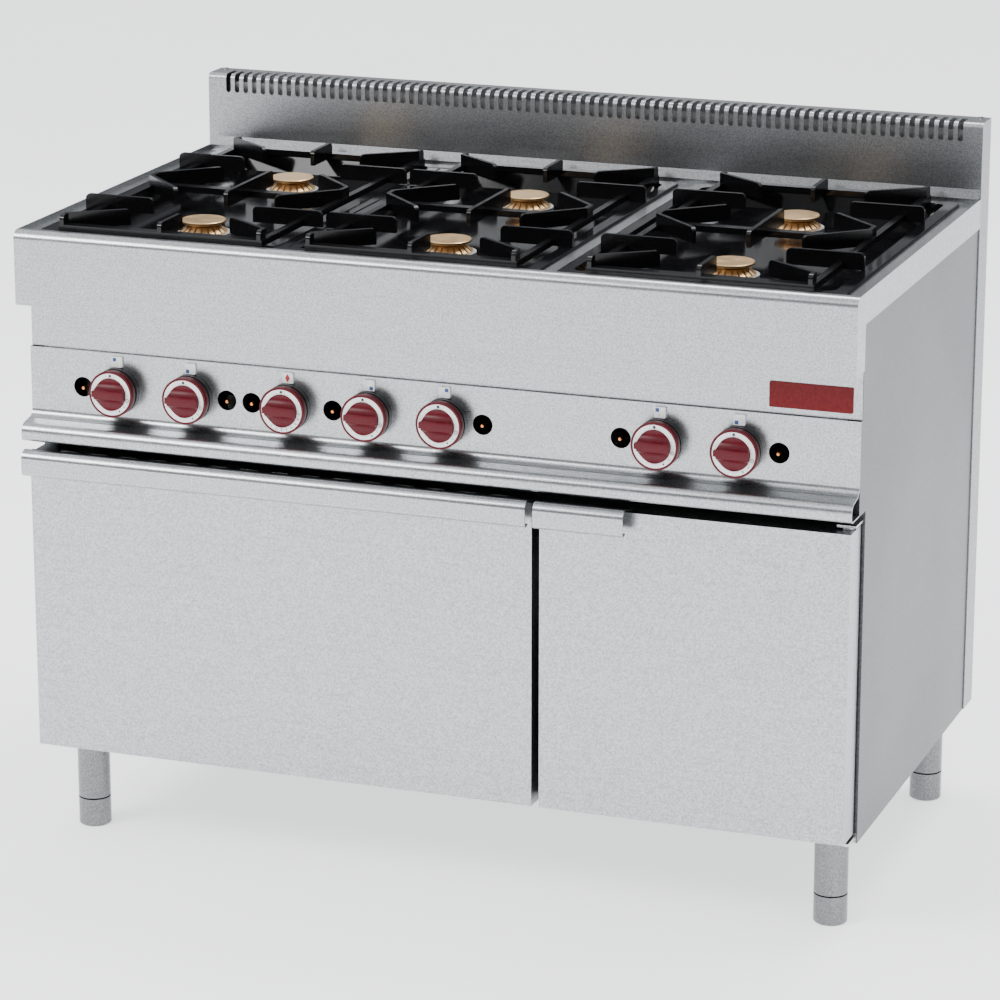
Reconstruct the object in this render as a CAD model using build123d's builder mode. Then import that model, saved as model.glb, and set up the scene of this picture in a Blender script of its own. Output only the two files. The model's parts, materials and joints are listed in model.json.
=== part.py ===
from build123d import *
import os

# Free-standing gas range: six open burners over a gas oven and a side cupboard.
# Frame: origin on the floor under the middle of the range, +X to the right,
# +Y from the front to the back, +Z up. Millimetres.

# ---------------------------------------------------------------- overall
width = 1100.0          # over the worktop
depth = 650.0           # apron face to the back of the flue
rim_z = 822.5           # top of the worktop's front nose
cowl_rise = 100.5       # flue cowl above the worktop nose
handle_reach = 11.0     # door handles stand this far in front of the apron
leg_height = 120.0      # floor to the underside of the body

front = -(depth - handle_reach) / 2      # apron face
back = front + depth                     # back of the flue
left = -width / 2
right = width / 2
cowl_z = rim_z + cowl_rise

# ---------------------------------------------------------------- sheet and fits
sheet = 1.5             # outer stainless sheet
thin_sheet = 1.0        # liners and ducts
seam = 0.4              # face gap between pressed parts of one body
slide_gap = 0.05        # radial clearance of pins and spindles in their holes
moving_gap = 0.5        # face gap between parts that move on each other

# ---------------------------------------------------------------- levels and setbacks
deck_drop = 6.3         # worktop deck below the front nose
nose_radius = 11.0      # front edge of the worktop
apron_height = 96.0
skirt_height = 39.0
apron_return = 38.0     # depth of the apron box
strip_setback = 39.0    # upper fascia behind the apron face
panel_setback = 34.0    # control panel behind the apron face
panel_top = 665.0
rail_top = 583.0        # where the control panel starts to sweep out
rail_bottom = 547.0     # underside of the bumper rail
rail_nose_radius = 12.0
body_setback = 65.0     # body front behind the apron face
body_inset = 1.6        # side panels inside the worktop skirt
cowl_depth = 45.0       # flue behind the worktop
cowl_radius = 7.0

deck_z = rim_z - deck_drop
apron_z = rim_z - apron_height
skirt_z = rim_z - skirt_height
body_x = width / 2 - body_inset          # outer face of the side panels
body_front = front + body_setback
body_back = back - cowl_depth
panel_y = front + panel_setback
strip_y = front + strip_setback

# ---------------------------------------------------------------- doors
door_setback = 14.0     # door faces behind the apron face
door_thickness = 46.0
door_bottom = 134.0
door_top = 530.0
door_side_gap = 6.5     # from the worktop's side to a door's edge
door_split = 695.0      # from the left side to the middle of the door seam
door_seam = 10.0
door_pivot_rise = 6.0   # oven door pivot above the door's lower edge
door_pivot_inset = 5.0  # oven door pivot in front of the door's back face
pin_radius = 4.0
handle_height = 31.0
handle_nose = 9.0
handle_sheet = 1.2
cupboard_handle_length = 116.0
door_slot_count = 15
door_slot_pitch = 42.0
door_slot = (27.0, 5.0)

door_y = front + door_setback
door_back = door_y + door_thickness
oven_door_x = (left + door_side_gap, left + door_split - door_seam / 2)
cupboard_door_x = (left + door_split + door_seam / 2, right - door_side_gap + 1.0)

# ---------------------------------------------------------------- hob
burner_pitch = 290.0    # front to rear burners
pan_edge = 22.0         # deck left showing beside the pans
pan_split = 704.0       # middle of the deck bar between the pans
pan_bar = 20.0          # width of that bar
pan_front = 21.5        # pan's front edge behind the apron face
pan_back_gap = 14.0     # pan's back edge to the worktop upstand
pan_lip = 4.0           # pan rim above the deck
pan_lip_width = 17.0
pan_depth = 22.0        # pan floor below the rim
pan_wall_slope = 8.0    # run of the sloping wall
pan_sheet = 1.2
pan_corner = 14.0
ridge_width = 30.0

lip_z = deck_z + pan_lip
pan_floor_z = lip_z - pan_depth
pan_y = (front + pan_front, body_back - pan_back_gap)
left_pan_x = (left + pan_edge, left + pan_split - pan_bar / 2)
right_pan_x = (left + pan_split + pan_bar / 2, right - pan_edge)
left_bay = (left_pan_x[1] - left_pan_x[0]) / 2
right_bay = right_pan_x[1] - right_pan_x[0]
pan_middle_y = (pan_y[0] + pan_y[1]) / 2
burner_x = (
    left_pan_x[0] + left_bay / 2,
    left_pan_x[1] - left_bay / 2,
    right_pan_x[0] + right_bay / 2,
)
burner_y = (pan_middle_y - burner_pitch / 2, pan_middle_y + burner_pitch / 2)

# ---------------------------------------------------------------- grates
grate_gap = 3.0         # grate end to the middle of the ridge
grate_rim = 14.0        # right grate's fin ends inside the pan's rim edge
grate_inset = 5.0       # grate ends behind the pan's front and rear edges
grate_side_inset = 30.0 # bent fins inside the ends of the cross fins
grate_open = 70.0       # half the clear square over a burner
fin_tip_radius = 6.0
fin_height = 20.5
fin_width = 5.5
bar_width = 15.0
bar_height = 8.0
grate_seat = 0.3        # fins stand this far above the pan rim
grate_bend = 0.75       # corner fins bend at this share of the way to the end bar
grate_turn = 0.87       # slanted share of the fins that serve two burners

fin_z = lip_z + grate_seat
grate_half_widths = (
    left_bay / 2 - grate_gap,
    left_bay / 2 - grate_gap,
    right_bay / 2 - grate_rim,
)
grate_end = (pan_y[1] - pan_y[0] - burner_pitch) / 2 - grate_inset

# ---------------------------------------------------------------- burners
cap_radius = 29.0
cap_edge = 3.0
cap_height = 7.0
cap_throat = 20.0
ring_radius = 31.0
ring_height = 9.0
ring_slot_count = 20
ring_slot = 2.6
base_radius = 35.0
base_height = 4.5
cup_radius = 26.0
cup_depth = 34.0

# ---------------------------------------------------------------- controls
knob_x = [left + v for v in (124.5, 226.0, 359.5, 469.0, 569.0, 848.0, 948.0)]
sight_x = [left + v for v in (75.0, 275.0, 309.0, 419.0, 618.5, 797.5, 998.0)]
knob_z = 617.5
sight_radius = 13.0
knob_radius = 30.0
knob_skirt = 10.0
knob_reach = 24.0       # knob face in front of the panel
dial_radius = 27.5
boss_radius = 21.0
boss_height = 7.0
grip_width = 12.0
bezel_height = 9.5
bezel_hole = 9.0
spindle_radius = 4.0
spindle_hole = 5.5
label_size = (14.5, 13.5, 3.0)

# ---------------------------------------------------------------- flue cowl
slot_count = 81
slot_pitch = 13.0
slot_width = 7.0
slot_drop = 22.0        # slot down the front face
slot_run = 28.0         # slot along the top
lip_rise = 12.5         # bent foot of the cowl
lip_out = 3.0

# ---------------------------------------------------------------- legs
leg_radius = 21.5
leg_wall = 1.5
foot_height = 38.0
foot_gap = 2.0
stud_radius = 6.0
leg_inset_x = 42.5
leg_inset_front = 98.5
leg_inset_back = 75.0
leg_plate_depth = 2 * (leg_inset_back - cowl_depth - sheet)
leg_points = [
    (left + leg_inset_x, front + leg_inset_front),
    (right - leg_inset_x, front + leg_inset_front),
    (left + leg_inset_x, back - leg_inset_back),
    (right - leg_inset_x, back - leg_inset_back),
]

# ---------------------------------------------------------------- oven and cupboard
oven_width = 560.0
oven_height = 290.0
oven_depth = 470.0
oven_floor_z = 178.0
oven_flange = 22.0
rack_z = 330.0
rack_wire = 3.0
rack_wires = 13
oven_centre_x = (oven_door_x[0] + oven_door_x[1]) / 2
oven_wall = 1.5
rack_play = 1.5         # rack to the oven wall, each side
cupboard_wall = 8.0     # partition behind the door seam

oven_x = (oven_centre_x - oven_width / 2, oven_centre_x + oven_width / 2)
oven_y = (body_front, body_front + oven_depth)
oven_z = (oven_floor_z, oven_floor_z + oven_height)
outlet_x = (oven_centre_x - 60.0, oven_centre_x + 60.0)
outlet_z = (oven_z[1] - 55.0, oven_z[1] - 15.0)
oven_bar = 9.0          # radius of the oven burner's bars
oven_bar_x = 150.0      # bars to either side of the oven's middle
oven_bar_z = oven_z[0] + 13.0
oven_feed_at = (oven_centre_x - oven_bar_x, oven_y[0] + 80.0)

# ---------------------------------------------------------------- door hinges
hinge_z = door_bottom + door_pivot_rise
hinge_y = door_back - door_pivot_inset
hinge_inset = 6.0       # oven hinge plate inside the door's edge
hinge_plate = 5.0
hinge_lug = 5.5
side_hinge_x = right - 16.0
side_hinge_y = front + 40.0
side_hinge_plate = 3.0
washer_radius = 8.0

# ---------------------------------------------------------------- gas supply
tap_depth = 46.0
tap_half = 13.0
manifold_radius = 10.5
inlet_x = right - 62.0
inlet_radius = 10.48    # half-inch threaded stub
stub_length = 18.0
supply_radius = 9.0     # pipe between the manifold and the stub
supply_bore = 7.0
inlet_hole = 12.0
feed_radius = 4.0
venturi_length = 45.0
venturi_bore = 8.0
tap_y = (panel_y + sheet + 6.0, panel_y + sheet + 6.0 + tap_depth)
manifold_y = tap_y[1] + manifold_radius
union_y = tap_y[1] - 12.0
union_z = knob_z + tap_half + 12.0
venturi_z = pan_floor_z - cup_depth / 2

# ---------------------------------------------------------------- fasteners
base_bolt_x = [left + v for v in (28.7, 595.5, 710.0, 995.0)]
bolt_radius = 5.8
bolt_height = 3.0
screw_radius = 4.0
screw_height = 1.6

# ---------------------------------------------------------------- body folds
base_rise = 13.0        # height of the base frame
side_fold = 18.0        # folded edges of the side panels
seal_gap = 0.4          # door seal to the oven flange
seal_width = 8.0
tray_depth = 22.0       # inner trays of the doors

parts_folder = "parts"


def save(part, name):
    """Label a finished piece and write its STEP file."""
    part.label = name
    export_step(part, f"{parts_folder}/{name}.step")


def span(pair):
    """Length and middle of a (low, high) pair."""
    return pair[1] - pair[0], (pair[0] + pair[1]) / 2


def box_between(x, y, z, mode=Mode.ADD):
    """Box between (low, high) pairs along each axis, in the open part builder."""
    with Locations(((x[0] + x[1]) / 2, (y[0] + y[1]) / 2, (z[0] + z[1]) / 2)):
        Box(x[1] - x[0], y[1] - y[0], z[1] - z[0], mode=mode)


os.makedirs(parts_folder, exist_ok=True)

# ================================================================ legs and feet
with BuildPart() as legs:
    with BuildSketch(Plane.XY.offset(foot_height + foot_gap)):
        with Locations(*leg_points):
            Circle(leg_radius)
    extrude(amount=leg_height - foot_height - foot_gap)
    with BuildSketch(Plane.XY.offset(foot_height + foot_gap)):
        with Locations(*leg_points):
            Circle(leg_radius - leg_wall)
            Circle(stud_radius + slide_gap, mode=Mode.SUBTRACT)
    extrude(amount=leg_height - foot_height - foot_gap, mode=Mode.SUBTRACT)
    # threaded plug that carries the foot's stud
    with BuildSketch(Plane.XY.offset(foot_height + foot_gap)):
        with Locations(*leg_points):
            Circle(leg_radius - leg_wall)
            Circle(stud_radius + slide_gap, mode=Mode.SUBTRACT)
    extrude(amount=foot_height / 2)
    with BuildSketch(Plane.XY.offset(foot_height + foot_gap)):
        with Locations(*leg_points):
            Circle(stud_radius + slide_gap)
    extrude(amount=leg_height, mode=Mode.SUBTRACT)
save(legs.part, "legs")

for index, (x, y) in enumerate(leg_points):
    with BuildPart() as foot:
        with BuildSketch(Plane.XY):
            with Locations((x, y)):
                Circle(leg_radius)
        extrude(amount=foot_height)
        chamfer(foot.edges().group_by(Axis.Z)[0], 2.0)
        with BuildSketch(Plane.XY.offset(foot_height)):
            with Locations((x, y)):
                Circle(stud_radius)
        extrude(amount=leg_height - foot_height - 10.0)
    save(foot.part, f"foot_{index + 1}")

# ================================================================ base frame
with BuildPart() as base_frame:
    inner_x = body_x - sheet - seam
    with BuildSketch(Plane.XY.offset(leg_height)):
        with Locations((0, (body_front + body_back) / 2)):
            Rectangle(2 * inner_x, body_back - body_front)
    extrude(amount=base_rise)
    with BuildSketch(Plane.XY.offset(leg_height + sheet)):
        with Locations((0, (body_front + body_back) / 2)):
            Rectangle(2 * (inner_x - sheet), body_back - body_front - 2 * sheet)
    extrude(amount=base_rise, mode=Mode.SUBTRACT)
    # doubling plates over the legs
    with BuildSketch(Plane.XY.offset(leg_height + sheet)):
        with Locations(*leg_points):
            Rectangle(3 * leg_radius, leg_plate_depth)
    extrude(amount=2 * sheet)
save(base_frame.part, "base_frame")


# ================================================================ side panels
def side_panel(sign):
    """One folded side panel; sign is -1 for the left and 1 for the right."""
    outer = sign * body_x
    upper_y = panel_y + sheet + seam
    top = deck_z - sheet - seam
    strip_back = strip_y + sheet + seam
    fold_low = leg_height + base_rise + seam
    with BuildPart() as panel:
        with BuildSketch(Plane.YZ.offset(outer)):
            with BuildLine():
                Polyline(
                    (body_front, leg_height),
                    (body_back - seam, leg_height),
                    (body_back - seam, top),
                    (strip_back, top),
                    (strip_back, panel_top),
                    (upper_y, panel_top),
                    (upper_y, rail_bottom),
                    (body_front, rail_bottom),
                    close=True,
                )
            make_face()
        extrude(amount=-sign * sheet)
        fold_x = sorted((outer, outer - sign * side_fold))
        box_between(fold_x, (body_front, body_front + sheet), (fold_low, rail_bottom))
        box_between(fold_x, (body_back - seam - sheet, body_back - seam), (fold_low, top))
        box_between(fold_x, (upper_y, upper_y + sheet), (rail_bottom, panel_top - 8))
    return panel.part


save(side_panel(-1), "left_side_panel")
save(side_panel(1), "right_side_panel")

# ================================================================ control panel with bumper rail
with BuildPart() as control_panel:
    nose_y = front + 1.0
    with BuildSketch(Plane.YZ.offset(-body_x)) as panel_section:
        with BuildLine() as panel_line:
            top_return = Line((panel_y + 22, panel_top), (panel_y, panel_top))
            face = Line((panel_y, panel_top), (panel_y, rail_top))
            sweep_out = ThreePointArc(
                (panel_y, rail_top),
                (panel_y - 3.5, rail_top - 7.0),
                (panel_y - 11.0, rail_top - 9.5),
            )
            slope = Line(
                (panel_y - 11.0, rail_top - 9.5),
                (nose_y + rail_nose_radius, rail_top - 12.0),
            )
            nose = ThreePointArc(
                (nose_y + rail_nose_radius, rail_top - 12.0),
                (nose_y + 3.2, rail_top - 15.8),
                (nose_y, rail_top - 24.0),
            )
            drop = Line((nose_y, rail_top - 24.0), (nose_y, rail_bottom + 6.0))
            curl = ThreePointArc(
                (nose_y, rail_bottom + 6.0),
                (nose_y + 1.8, rail_bottom + 1.8),
                (nose_y + 6.0, rail_bottom),
            )
            back_return = Line((nose_y + 6.0, rail_bottom), (body_front - 3, rail_bottom))
            offset(amount=sheet, side=Side.LEFT)
        make_face()
    extrude(amount=2 * body_x)
    with BuildSketch(Plane.XZ.offset(-panel_y)):
        with Locations(*[(x, knob_z) for x in knob_x]):
            Circle(spindle_hole)
        with Locations(*[(x, knob_z) for x in sight_x]):
            Circle(sight_radius)
    extrude(amount=10, both=True, mode=Mode.SUBTRACT)
    # the folded returns stop short of the side panels
    for sign in (-1, 1):
        box_between(
            sorted((sign * (body_x - side_fold - seam), sign * (body_x + 1))),
            (panel_y + sheet, body_front),
            (rail_bottom - 1, panel_top + 1),
            mode=Mode.SUBTRACT,
        )
save(control_panel.part, "control_panel")

# ================================================================ upper fascia and badge plate
with BuildPart() as front_strip:
    strip_x = width / 2 - sheet - seam
    flange_x = body_x - sheet - seam
    flange_z = apron_z + 14.0
    box_between((-strip_x, strip_x), (strip_y, strip_y + sheet), (panel_top + seam, flange_z))
    box_between((-flange_x, flange_x), (strip_y, strip_y + 14), (flange_z - sheet, flange_z))
save(front_strip.part, "front_strip")

badge_size = (104.0, 32.0, 1.2)
badge_at = (left + 1035.0, 689.0)
with BuildPart() as badge_plate:
    with BuildSketch(Plane.XZ.offset(-strip_y)):
        with Locations(badge_at):
            RectangleRounded(badge_size[0], badge_size[1], 2.0)
    extrude(amount=badge_size[2])
save(badge_plate.part, "badge_plate")

# ================================================================ worktop
nose_end = front + nose_radius + 6.0    # back of the nose's flat top
nose_step = 4.0                         # run of the step down to the deck
inner = width / 2 - sheet
with BuildPart() as worktop:
    with BuildSketch(Plane.YZ.offset(left)):
        with BuildLine():
            RadiusArc((front + nose_radius, rim_z), (front, rim_z - nose_radius), -nose_radius)
            Polyline(
                (front, rim_z - nose_radius),
                (front, apron_z),
                (front + apron_return, apron_z),
                (front + apron_return, skirt_z),
                (body_back, skirt_z),
                (body_back, rim_z),
                (front + nose_radius, rim_z),
            )
        make_face()
    extrude(amount=width)
    # the deck lies below the nose, the side caps and the rear upstand
    with BuildSketch(Plane.YZ.offset(-inner)):
        with BuildLine():
            Polyline(
                (nose_end, rim_z + 1),
                (nose_end, rim_z),
                (nose_end + nose_step, deck_z),
                (body_back - sheet, deck_z),
                (body_back - sheet, rim_z + 1),
                close=True,
            )
        make_face()
    extrude(amount=2 * inner, mode=Mode.SUBTRACT)
    # open underside
    with BuildSketch(Plane.YZ.offset(-inner)):
        with BuildLine():
            RadiusArc(
                (front + nose_radius, rim_z - sheet),
                (front + sheet, rim_z - nose_radius),
                sheet - nose_radius,
            )
            Polyline(
                (front + sheet, rim_z - nose_radius),
                (front + sheet, apron_z + sheet),
                (front + apron_return, apron_z + sheet),
                (front + apron_return, apron_z - 1),
                (body_back + 1, apron_z - 1),
                (body_back + 1, deck_z - sheet),
                (nose_end + nose_step - sheet, deck_z - sheet),
                (nose_end - sheet, rim_z - sheet),
                (front + nose_radius, rim_z - sheet),
            )
        make_face()
    extrude(amount=2 * inner, mode=Mode.SUBTRACT)
    # openings for the two spill pans
    for pan_x in (left_pan_x, right_pan_x):
        span_x, middle_x = span(pan_x)
        span_y, middle_y = span(pan_y)
        with BuildSketch(Plane.XY.offset(deck_z - 4 * sheet)):
            with Locations((middle_x, middle_y)):
                hole_inset = pan_lip_width - pan_wall_slope / 2
                RectangleRounded(span_x - 2 * hole_inset, span_y - 2 * hole_inset, pan_corner)
        extrude(amount=8 * sheet, mode=Mode.SUBTRACT)
save(worktop.part, "worktop")


# ================================================================ spill pans
def pan_shell(pan_x, grow):
    """Solid bowl of a pan, grown outwards by grow below the rim."""
    span_x, middle_x = span(pan_x)
    span_y, middle_y = span(pan_y)
    top_inset = pan_lip_width - grow
    low_inset = pan_lip_width + pan_wall_slope - grow
    with BuildPart(mode=Mode.PRIVATE) as bowl:
        with BuildSketch(Plane.XY.offset(lip_z + (0 if grow else 1))):
            with Locations((middle_x, middle_y)):
                RectangleRounded(span_x - 2 * top_inset, span_y - 2 * top_inset, pan_corner)
        with BuildSketch(Plane.XY.offset(pan_floor_z - grow)):
            with Locations((middle_x, middle_y)):
                RectangleRounded(span_x - 2 * low_inset, span_y - 2 * low_inset, pan_corner)
        loft()
    return bowl.part


def spill_pan(pan_x, burners, ridge_x=None):
    """Enamelled pan with a rolled rim, burner holes and an optional ridge."""
    span_x, middle_x = span(pan_x)
    span_y, middle_y = span(pan_y)
    outer_bowl = pan_shell(pan_x, pan_sheet)
    inner_bowl = pan_shell(pan_x, 0)
    with BuildPart() as pan:
        with BuildSketch(Plane.XY.offset(deck_z)):
            with Locations((middle_x, middle_y)):
                RectangleRounded(span_x, span_y, pan_corner)
        extrude(amount=pan_lip)
        fillet(pan.edges().group_by(Axis.Z)[-1], pan_lip * 0.6)
        add(outer_bowl)
        add(inner_bowl, mode=Mode.SUBTRACT)
        if ridge_x is not None:
            inset = pan_lip_width + pan_wall_slope
            with BuildSketch(Plane.XZ.offset(-(pan_y[0] + inset - 6))):
                with BuildLine():
                    half = ridge_width / 2
                    foot = half + pan_wall_slope
                    Polyline(
                        (ridge_x - foot, pan_floor_z),
                        (ridge_x - half, lip_z - 1),
                        (ridge_x - 2, lip_z - 1),
                        (ridge_x, lip_z - 3),
                        (ridge_x + 2, lip_z - 1),
                        (ridge_x + half, lip_z - 1),
                        (ridge_x + foot, pan_floor_z),
                        close=True,
                    )
                make_face()
            extrude(amount=-(span_y - 2 * inset + 12))
            with BuildSketch(Plane.XZ.offset(-(pan_y[0] + inset - 8))):
                with BuildLine():
                    Polyline(
                        (ridge_x - foot + 2, pan_floor_z - pan_sheet - 1),
                        (ridge_x - half + 2, lip_z - 5),
                        (ridge_x + half - 2, lip_z - 5),
                        (ridge_x + foot - 2, pan_floor_z - pan_sheet - 1),
                        close=True,
                    )
                make_face()
            extrude(amount=-(span_y - 2 * inset + 16), mode=Mode.SUBTRACT)
        with BuildSketch(Plane.XY.offset(pan_floor_z - 10)):
            with Locations(*[(x, y) for x in burners for y in burner_y]):
                Circle(cup_radius + seam)
        extrude(amount=12, mode=Mode.SUBTRACT)
    return pan.part


ridge_at = (burner_x[0] + burner_x[1]) / 2
save(spill_pan(left_pan_x, burner_x[:2], ridge_at), "left_pan")
save(spill_pan(right_pan_x, burner_x[2:]), "right_pan")


# ================================================================ cast grates
def fin(points):
    """Upright fin along a plan polyline, its two top ends rounded off."""
    with BuildPart(mode=Mode.PRIVATE) as blade:
        with BuildSketch(Plane.XY.offset(fin_z)):
            with BuildLine() as path:
                Polyline(*points)
            trace(path.line, line_width=fin_width)
        extrude(amount=fin_height)
        top_edges = blade.edges().group_by(Axis.Z)[-1]
        fillet(top_edges.filter_by(lambda e: abs(e.length - fin_width) < 0.01), fin_tip_radius)
    return blade.part


def grate(centre_x, half_width):
    """One cast grate over a front and a rear burner."""
    reach = burner_pitch / 2
    side_in = half_width - grate_side_inset
    tip_y = reach - grate_open
    turn_y = tip_y * (1 - grate_turn)
    bend_y = grate_open + grate_bend * (grate_end - grate_open)
    fins = [fin([(centre_x, pan_middle_y - tip_y), (centre_x, pan_middle_y + tip_y)])]
    for side in (-1, 1):
        side_x = centre_x + side * side_in
        tip_x = centre_x + side * grate_open
        # bent fin that serves both burners from the middle bar
        fins.append(fin([
            (tip_x, pan_middle_y - tip_y),
            (side_x, pan_middle_y - turn_y),
            (side_x, pan_middle_y + turn_y),
            (tip_x, pan_middle_y + tip_y),
        ]))
        for burner in (-1, 1):
            near = pan_middle_y + burner * reach
            # fin across the burner from the grate's long side
            fins.append(fin([(centre_x + side * half_width, near), (tip_x, near)]))
            # bent fin from the end bar to a corner of the clear square
            fins.append(fin([
                (side_x, near + burner * grate_end),
                (side_x, near + burner * bend_y),
                (tip_x, near + burner * grate_open),
            ]))
    for burner in (-1, 1):
        near = pan_middle_y + burner * reach
        fins.append(fin([
            (centre_x, near + burner * grate_end),
            (centre_x, near + burner * grate_open),
        ]))
    length = 2 * (reach + grate_end)
    with BuildPart() as casting:
        # low frame: two sides and three cross bars
        with BuildSketch(Plane.XY.offset(fin_z)):
            for side in (-1, 1):
                with Locations((centre_x + side * side_in, pan_middle_y)):
                    Rectangle(1.6 * fin_width, length)
            for bar_y in (bar_width / 2 - length / 2, 0, length / 2 - bar_width / 2):
                with Locations((centre_x, pan_middle_y + bar_y)):
                    Rectangle(2 * side_in, bar_width)
        extrude(amount=bar_height)
        for blade in fins:
            add(blade)
    return casting.part


grate_names = ("grate_left", "grate_middle", "grate_right")
for name, x, half_width in zip(grate_names, burner_x, grate_half_widths):
    save(grate(x, half_width), name)

# ================================================================ burners
burner_points = [(x, y) for x in burner_x for y in burner_y]
cup_top_z = pan_floor_z + base_height
ring_top_z = cup_top_z + ring_height

with BuildPart() as burner_bodies:
    with BuildSketch(Plane.XY.offset(pan_floor_z)):
        with Locations(*burner_points):
            Circle(base_radius)
    extrude(amount=base_height)
    with BuildSketch(Plane.XY.offset(pan_floor_z - cup_depth)):
        with Locations(*burner_points):
            Circle(cup_radius)
    extrude(amount=cup_depth)
    # mixing chamber and throat
    with BuildSketch(Plane.XY.offset(pan_floor_z - cup_depth + 4)):
        with Locations(*burner_points):
            Circle(cup_radius - 8)
    extrude(amount=cup_depth + base_height, mode=Mode.SUBTRACT)
    # venturi tube towards the front
    for x, y in burner_points:
        with BuildSketch(Plane.XZ.offset(-(y - cup_radius + 2))):
            with Locations((x, venturi_z)):
                Circle(venturi_bore + 3)
        extrude(amount=venturi_length)
    for x, y in burner_points:
        with BuildSketch(Plane.XZ.offset(-(y - cup_radius + 12))):
            with Locations((x, venturi_z)):
                Circle(venturi_bore)
        extrude(amount=60, mode=Mode.SUBTRACT)
save(burner_bodies.part, "burner_bodies")

with BuildPart() as flame_rings:
    for x, y in burner_points:
        with BuildSketch(Plane.XZ.offset(-y)):
            with BuildLine():
                Polyline(
                    (x + 14, cup_top_z),
                    (x + ring_radius, cup_top_z),
                    (x + ring_radius, cup_top_z + 1.5),
                    (x + cap_throat + 1, ring_top_z),
                    (x + 14, ring_top_z),
                    close=True,
                )
            make_face()
        revolve(axis=Axis((x, y, 0), (0, 0, 1)))
        with BuildSketch(Plane.XY.offset(cup_top_z + 1.5)):
            with Locations((x, y)):
                with PolarLocations((cap_throat + ring_radius) / 2 + 2, ring_slot_count):
                    Rectangle(ring_radius - cap_throat, ring_slot)
        extrude(amount=ring_height, mode=Mode.SUBTRACT)
save(flame_rings.part, "flame_rings")

cap_names = []
for column, x in zip(("left", "middle", "right"), burner_x):
    for row, y in zip(("front", "rear"), burner_y):
        cap_names.append((f"cap_{column}_{row}", x, y))

for name, x, y in cap_names:
    with BuildPart() as cap:
        cap_base = ring_top_z + 0.2
        top = cap_base + cap_height
        with BuildSketch(Plane.XZ.offset(-y)):
            with BuildLine():
                Line((x, cap_base - 5), (x + 13, cap_base - 5))
                Line((x + 13, cap_base - 5), (x + 13, cap_base))
                Line((x + 13, cap_base), (x + cap_throat, cap_base))
                Line((x + cap_throat, cap_base), (x + cap_radius, top - cap_edge))
                Line((x + cap_radius, top - cap_edge), (x + cap_radius, top - 0.8))
                Line((x + cap_radius, top - 0.8), (x + cap_radius - 0.8, top))
                Line((x + cap_radius - 0.8, top), (x, top))
                Line((x, top), (x, cap_base - 5))
            make_face()
        revolve(axis=Axis((x, y, 0), (0, 0, 1)))
    save(cap.part, name)

# ================================================================ gas taps, manifold and inlet
with BuildPart() as gas_taps:
    for x in knob_x:
        box_between((x - tap_half, x + tap_half), tap_y, (knob_z - tap_half, knob_z + tap_half))
    with BuildSketch(Plane.XZ.offset(-tap_y[0])):
        with Locations(*[(x, knob_z) for x in knob_x]):
            Circle(9)
    extrude(amount=4)
    # spindle wells
    with BuildSketch(Plane.XZ.offset(-(tap_y[0] - 4))):
        with Locations(*[(x, knob_z) for x in knob_x]):
            Circle(spindle_radius + slide_gap)
    extrude(amount=-34, mode=Mode.SUBTRACT)
    # outlet unions
    with BuildSketch(Plane.XY.offset(knob_z + tap_half)):
        with Locations(*[(x, union_y) for x in knob_x]):
            Circle(7)
    extrude(amount=union_z - knob_z - tap_half)
save(gas_taps.part, "gas_taps")


def tube(points):
    """Feed tube along a polyline with eased bends."""
    with BuildPart(mode=Mode.PRIVATE) as pipe:
        with BuildLine() as path:
            FilletPolyline(*points, radius=2 * feed_radius)
        with BuildSketch(Plane(origin=path.line @ 0, z_dir=path.line % 0)):
            Circle(feed_radius)
        sweep()
    return pipe.part


def hob_feed(tap_x, burner_at, level):
    """Tube from a tap, along at the given level, into a burner's venturi."""
    x, y = burner_at
    mouth_y = y - cup_radius + 2 - venturi_length
    points = [(tap_x, union_y, union_z), (tap_x, union_y, level)]
    if level < venturi_z:
        turn_y = mouth_y - 20
        points += [(tap_x, turn_y, level), (x, turn_y, level), (x, turn_y, venturi_z)]
    else:
        points += [(x, union_y, level)]
    return tube(points + [(x, mouth_y + 6, venturi_z)])


def oven_feed(tap_x):
    """Tube from the thermostat down the left side and up into the oven burner."""
    side_x = left + 28
    over_z = union_z + 32
    under_z = oven_z[0] - 20
    x, y = oven_feed_at
    return tube([
        (tap_x, union_y, union_z),
        (tap_x, union_y, over_z),
        (tap_x, y, over_z),
        (side_x, y, over_z),
        (side_x, y, under_z),
        (x, y, under_z),
        (x, y, oven_bar_z),
    ])


rear_level = pan_floor_z - cup_depth - 12.0
feeds = [
    hob_feed(knob_x[0], (burner_x[0], burner_y[1]), rear_level),
    hob_feed(knob_x[1], (burner_x[0], burner_y[0]), venturi_z),
    hob_feed(knob_x[3], (burner_x[1], burner_y[0]), venturi_z),
    hob_feed(knob_x[4], (burner_x[1], burner_y[1]), rear_level),
    hob_feed(knob_x[5], (burner_x[2], burner_y[1]), rear_level),
    hob_feed(knob_x[6], (burner_x[2], burner_y[0]), venturi_z),
]

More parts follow.
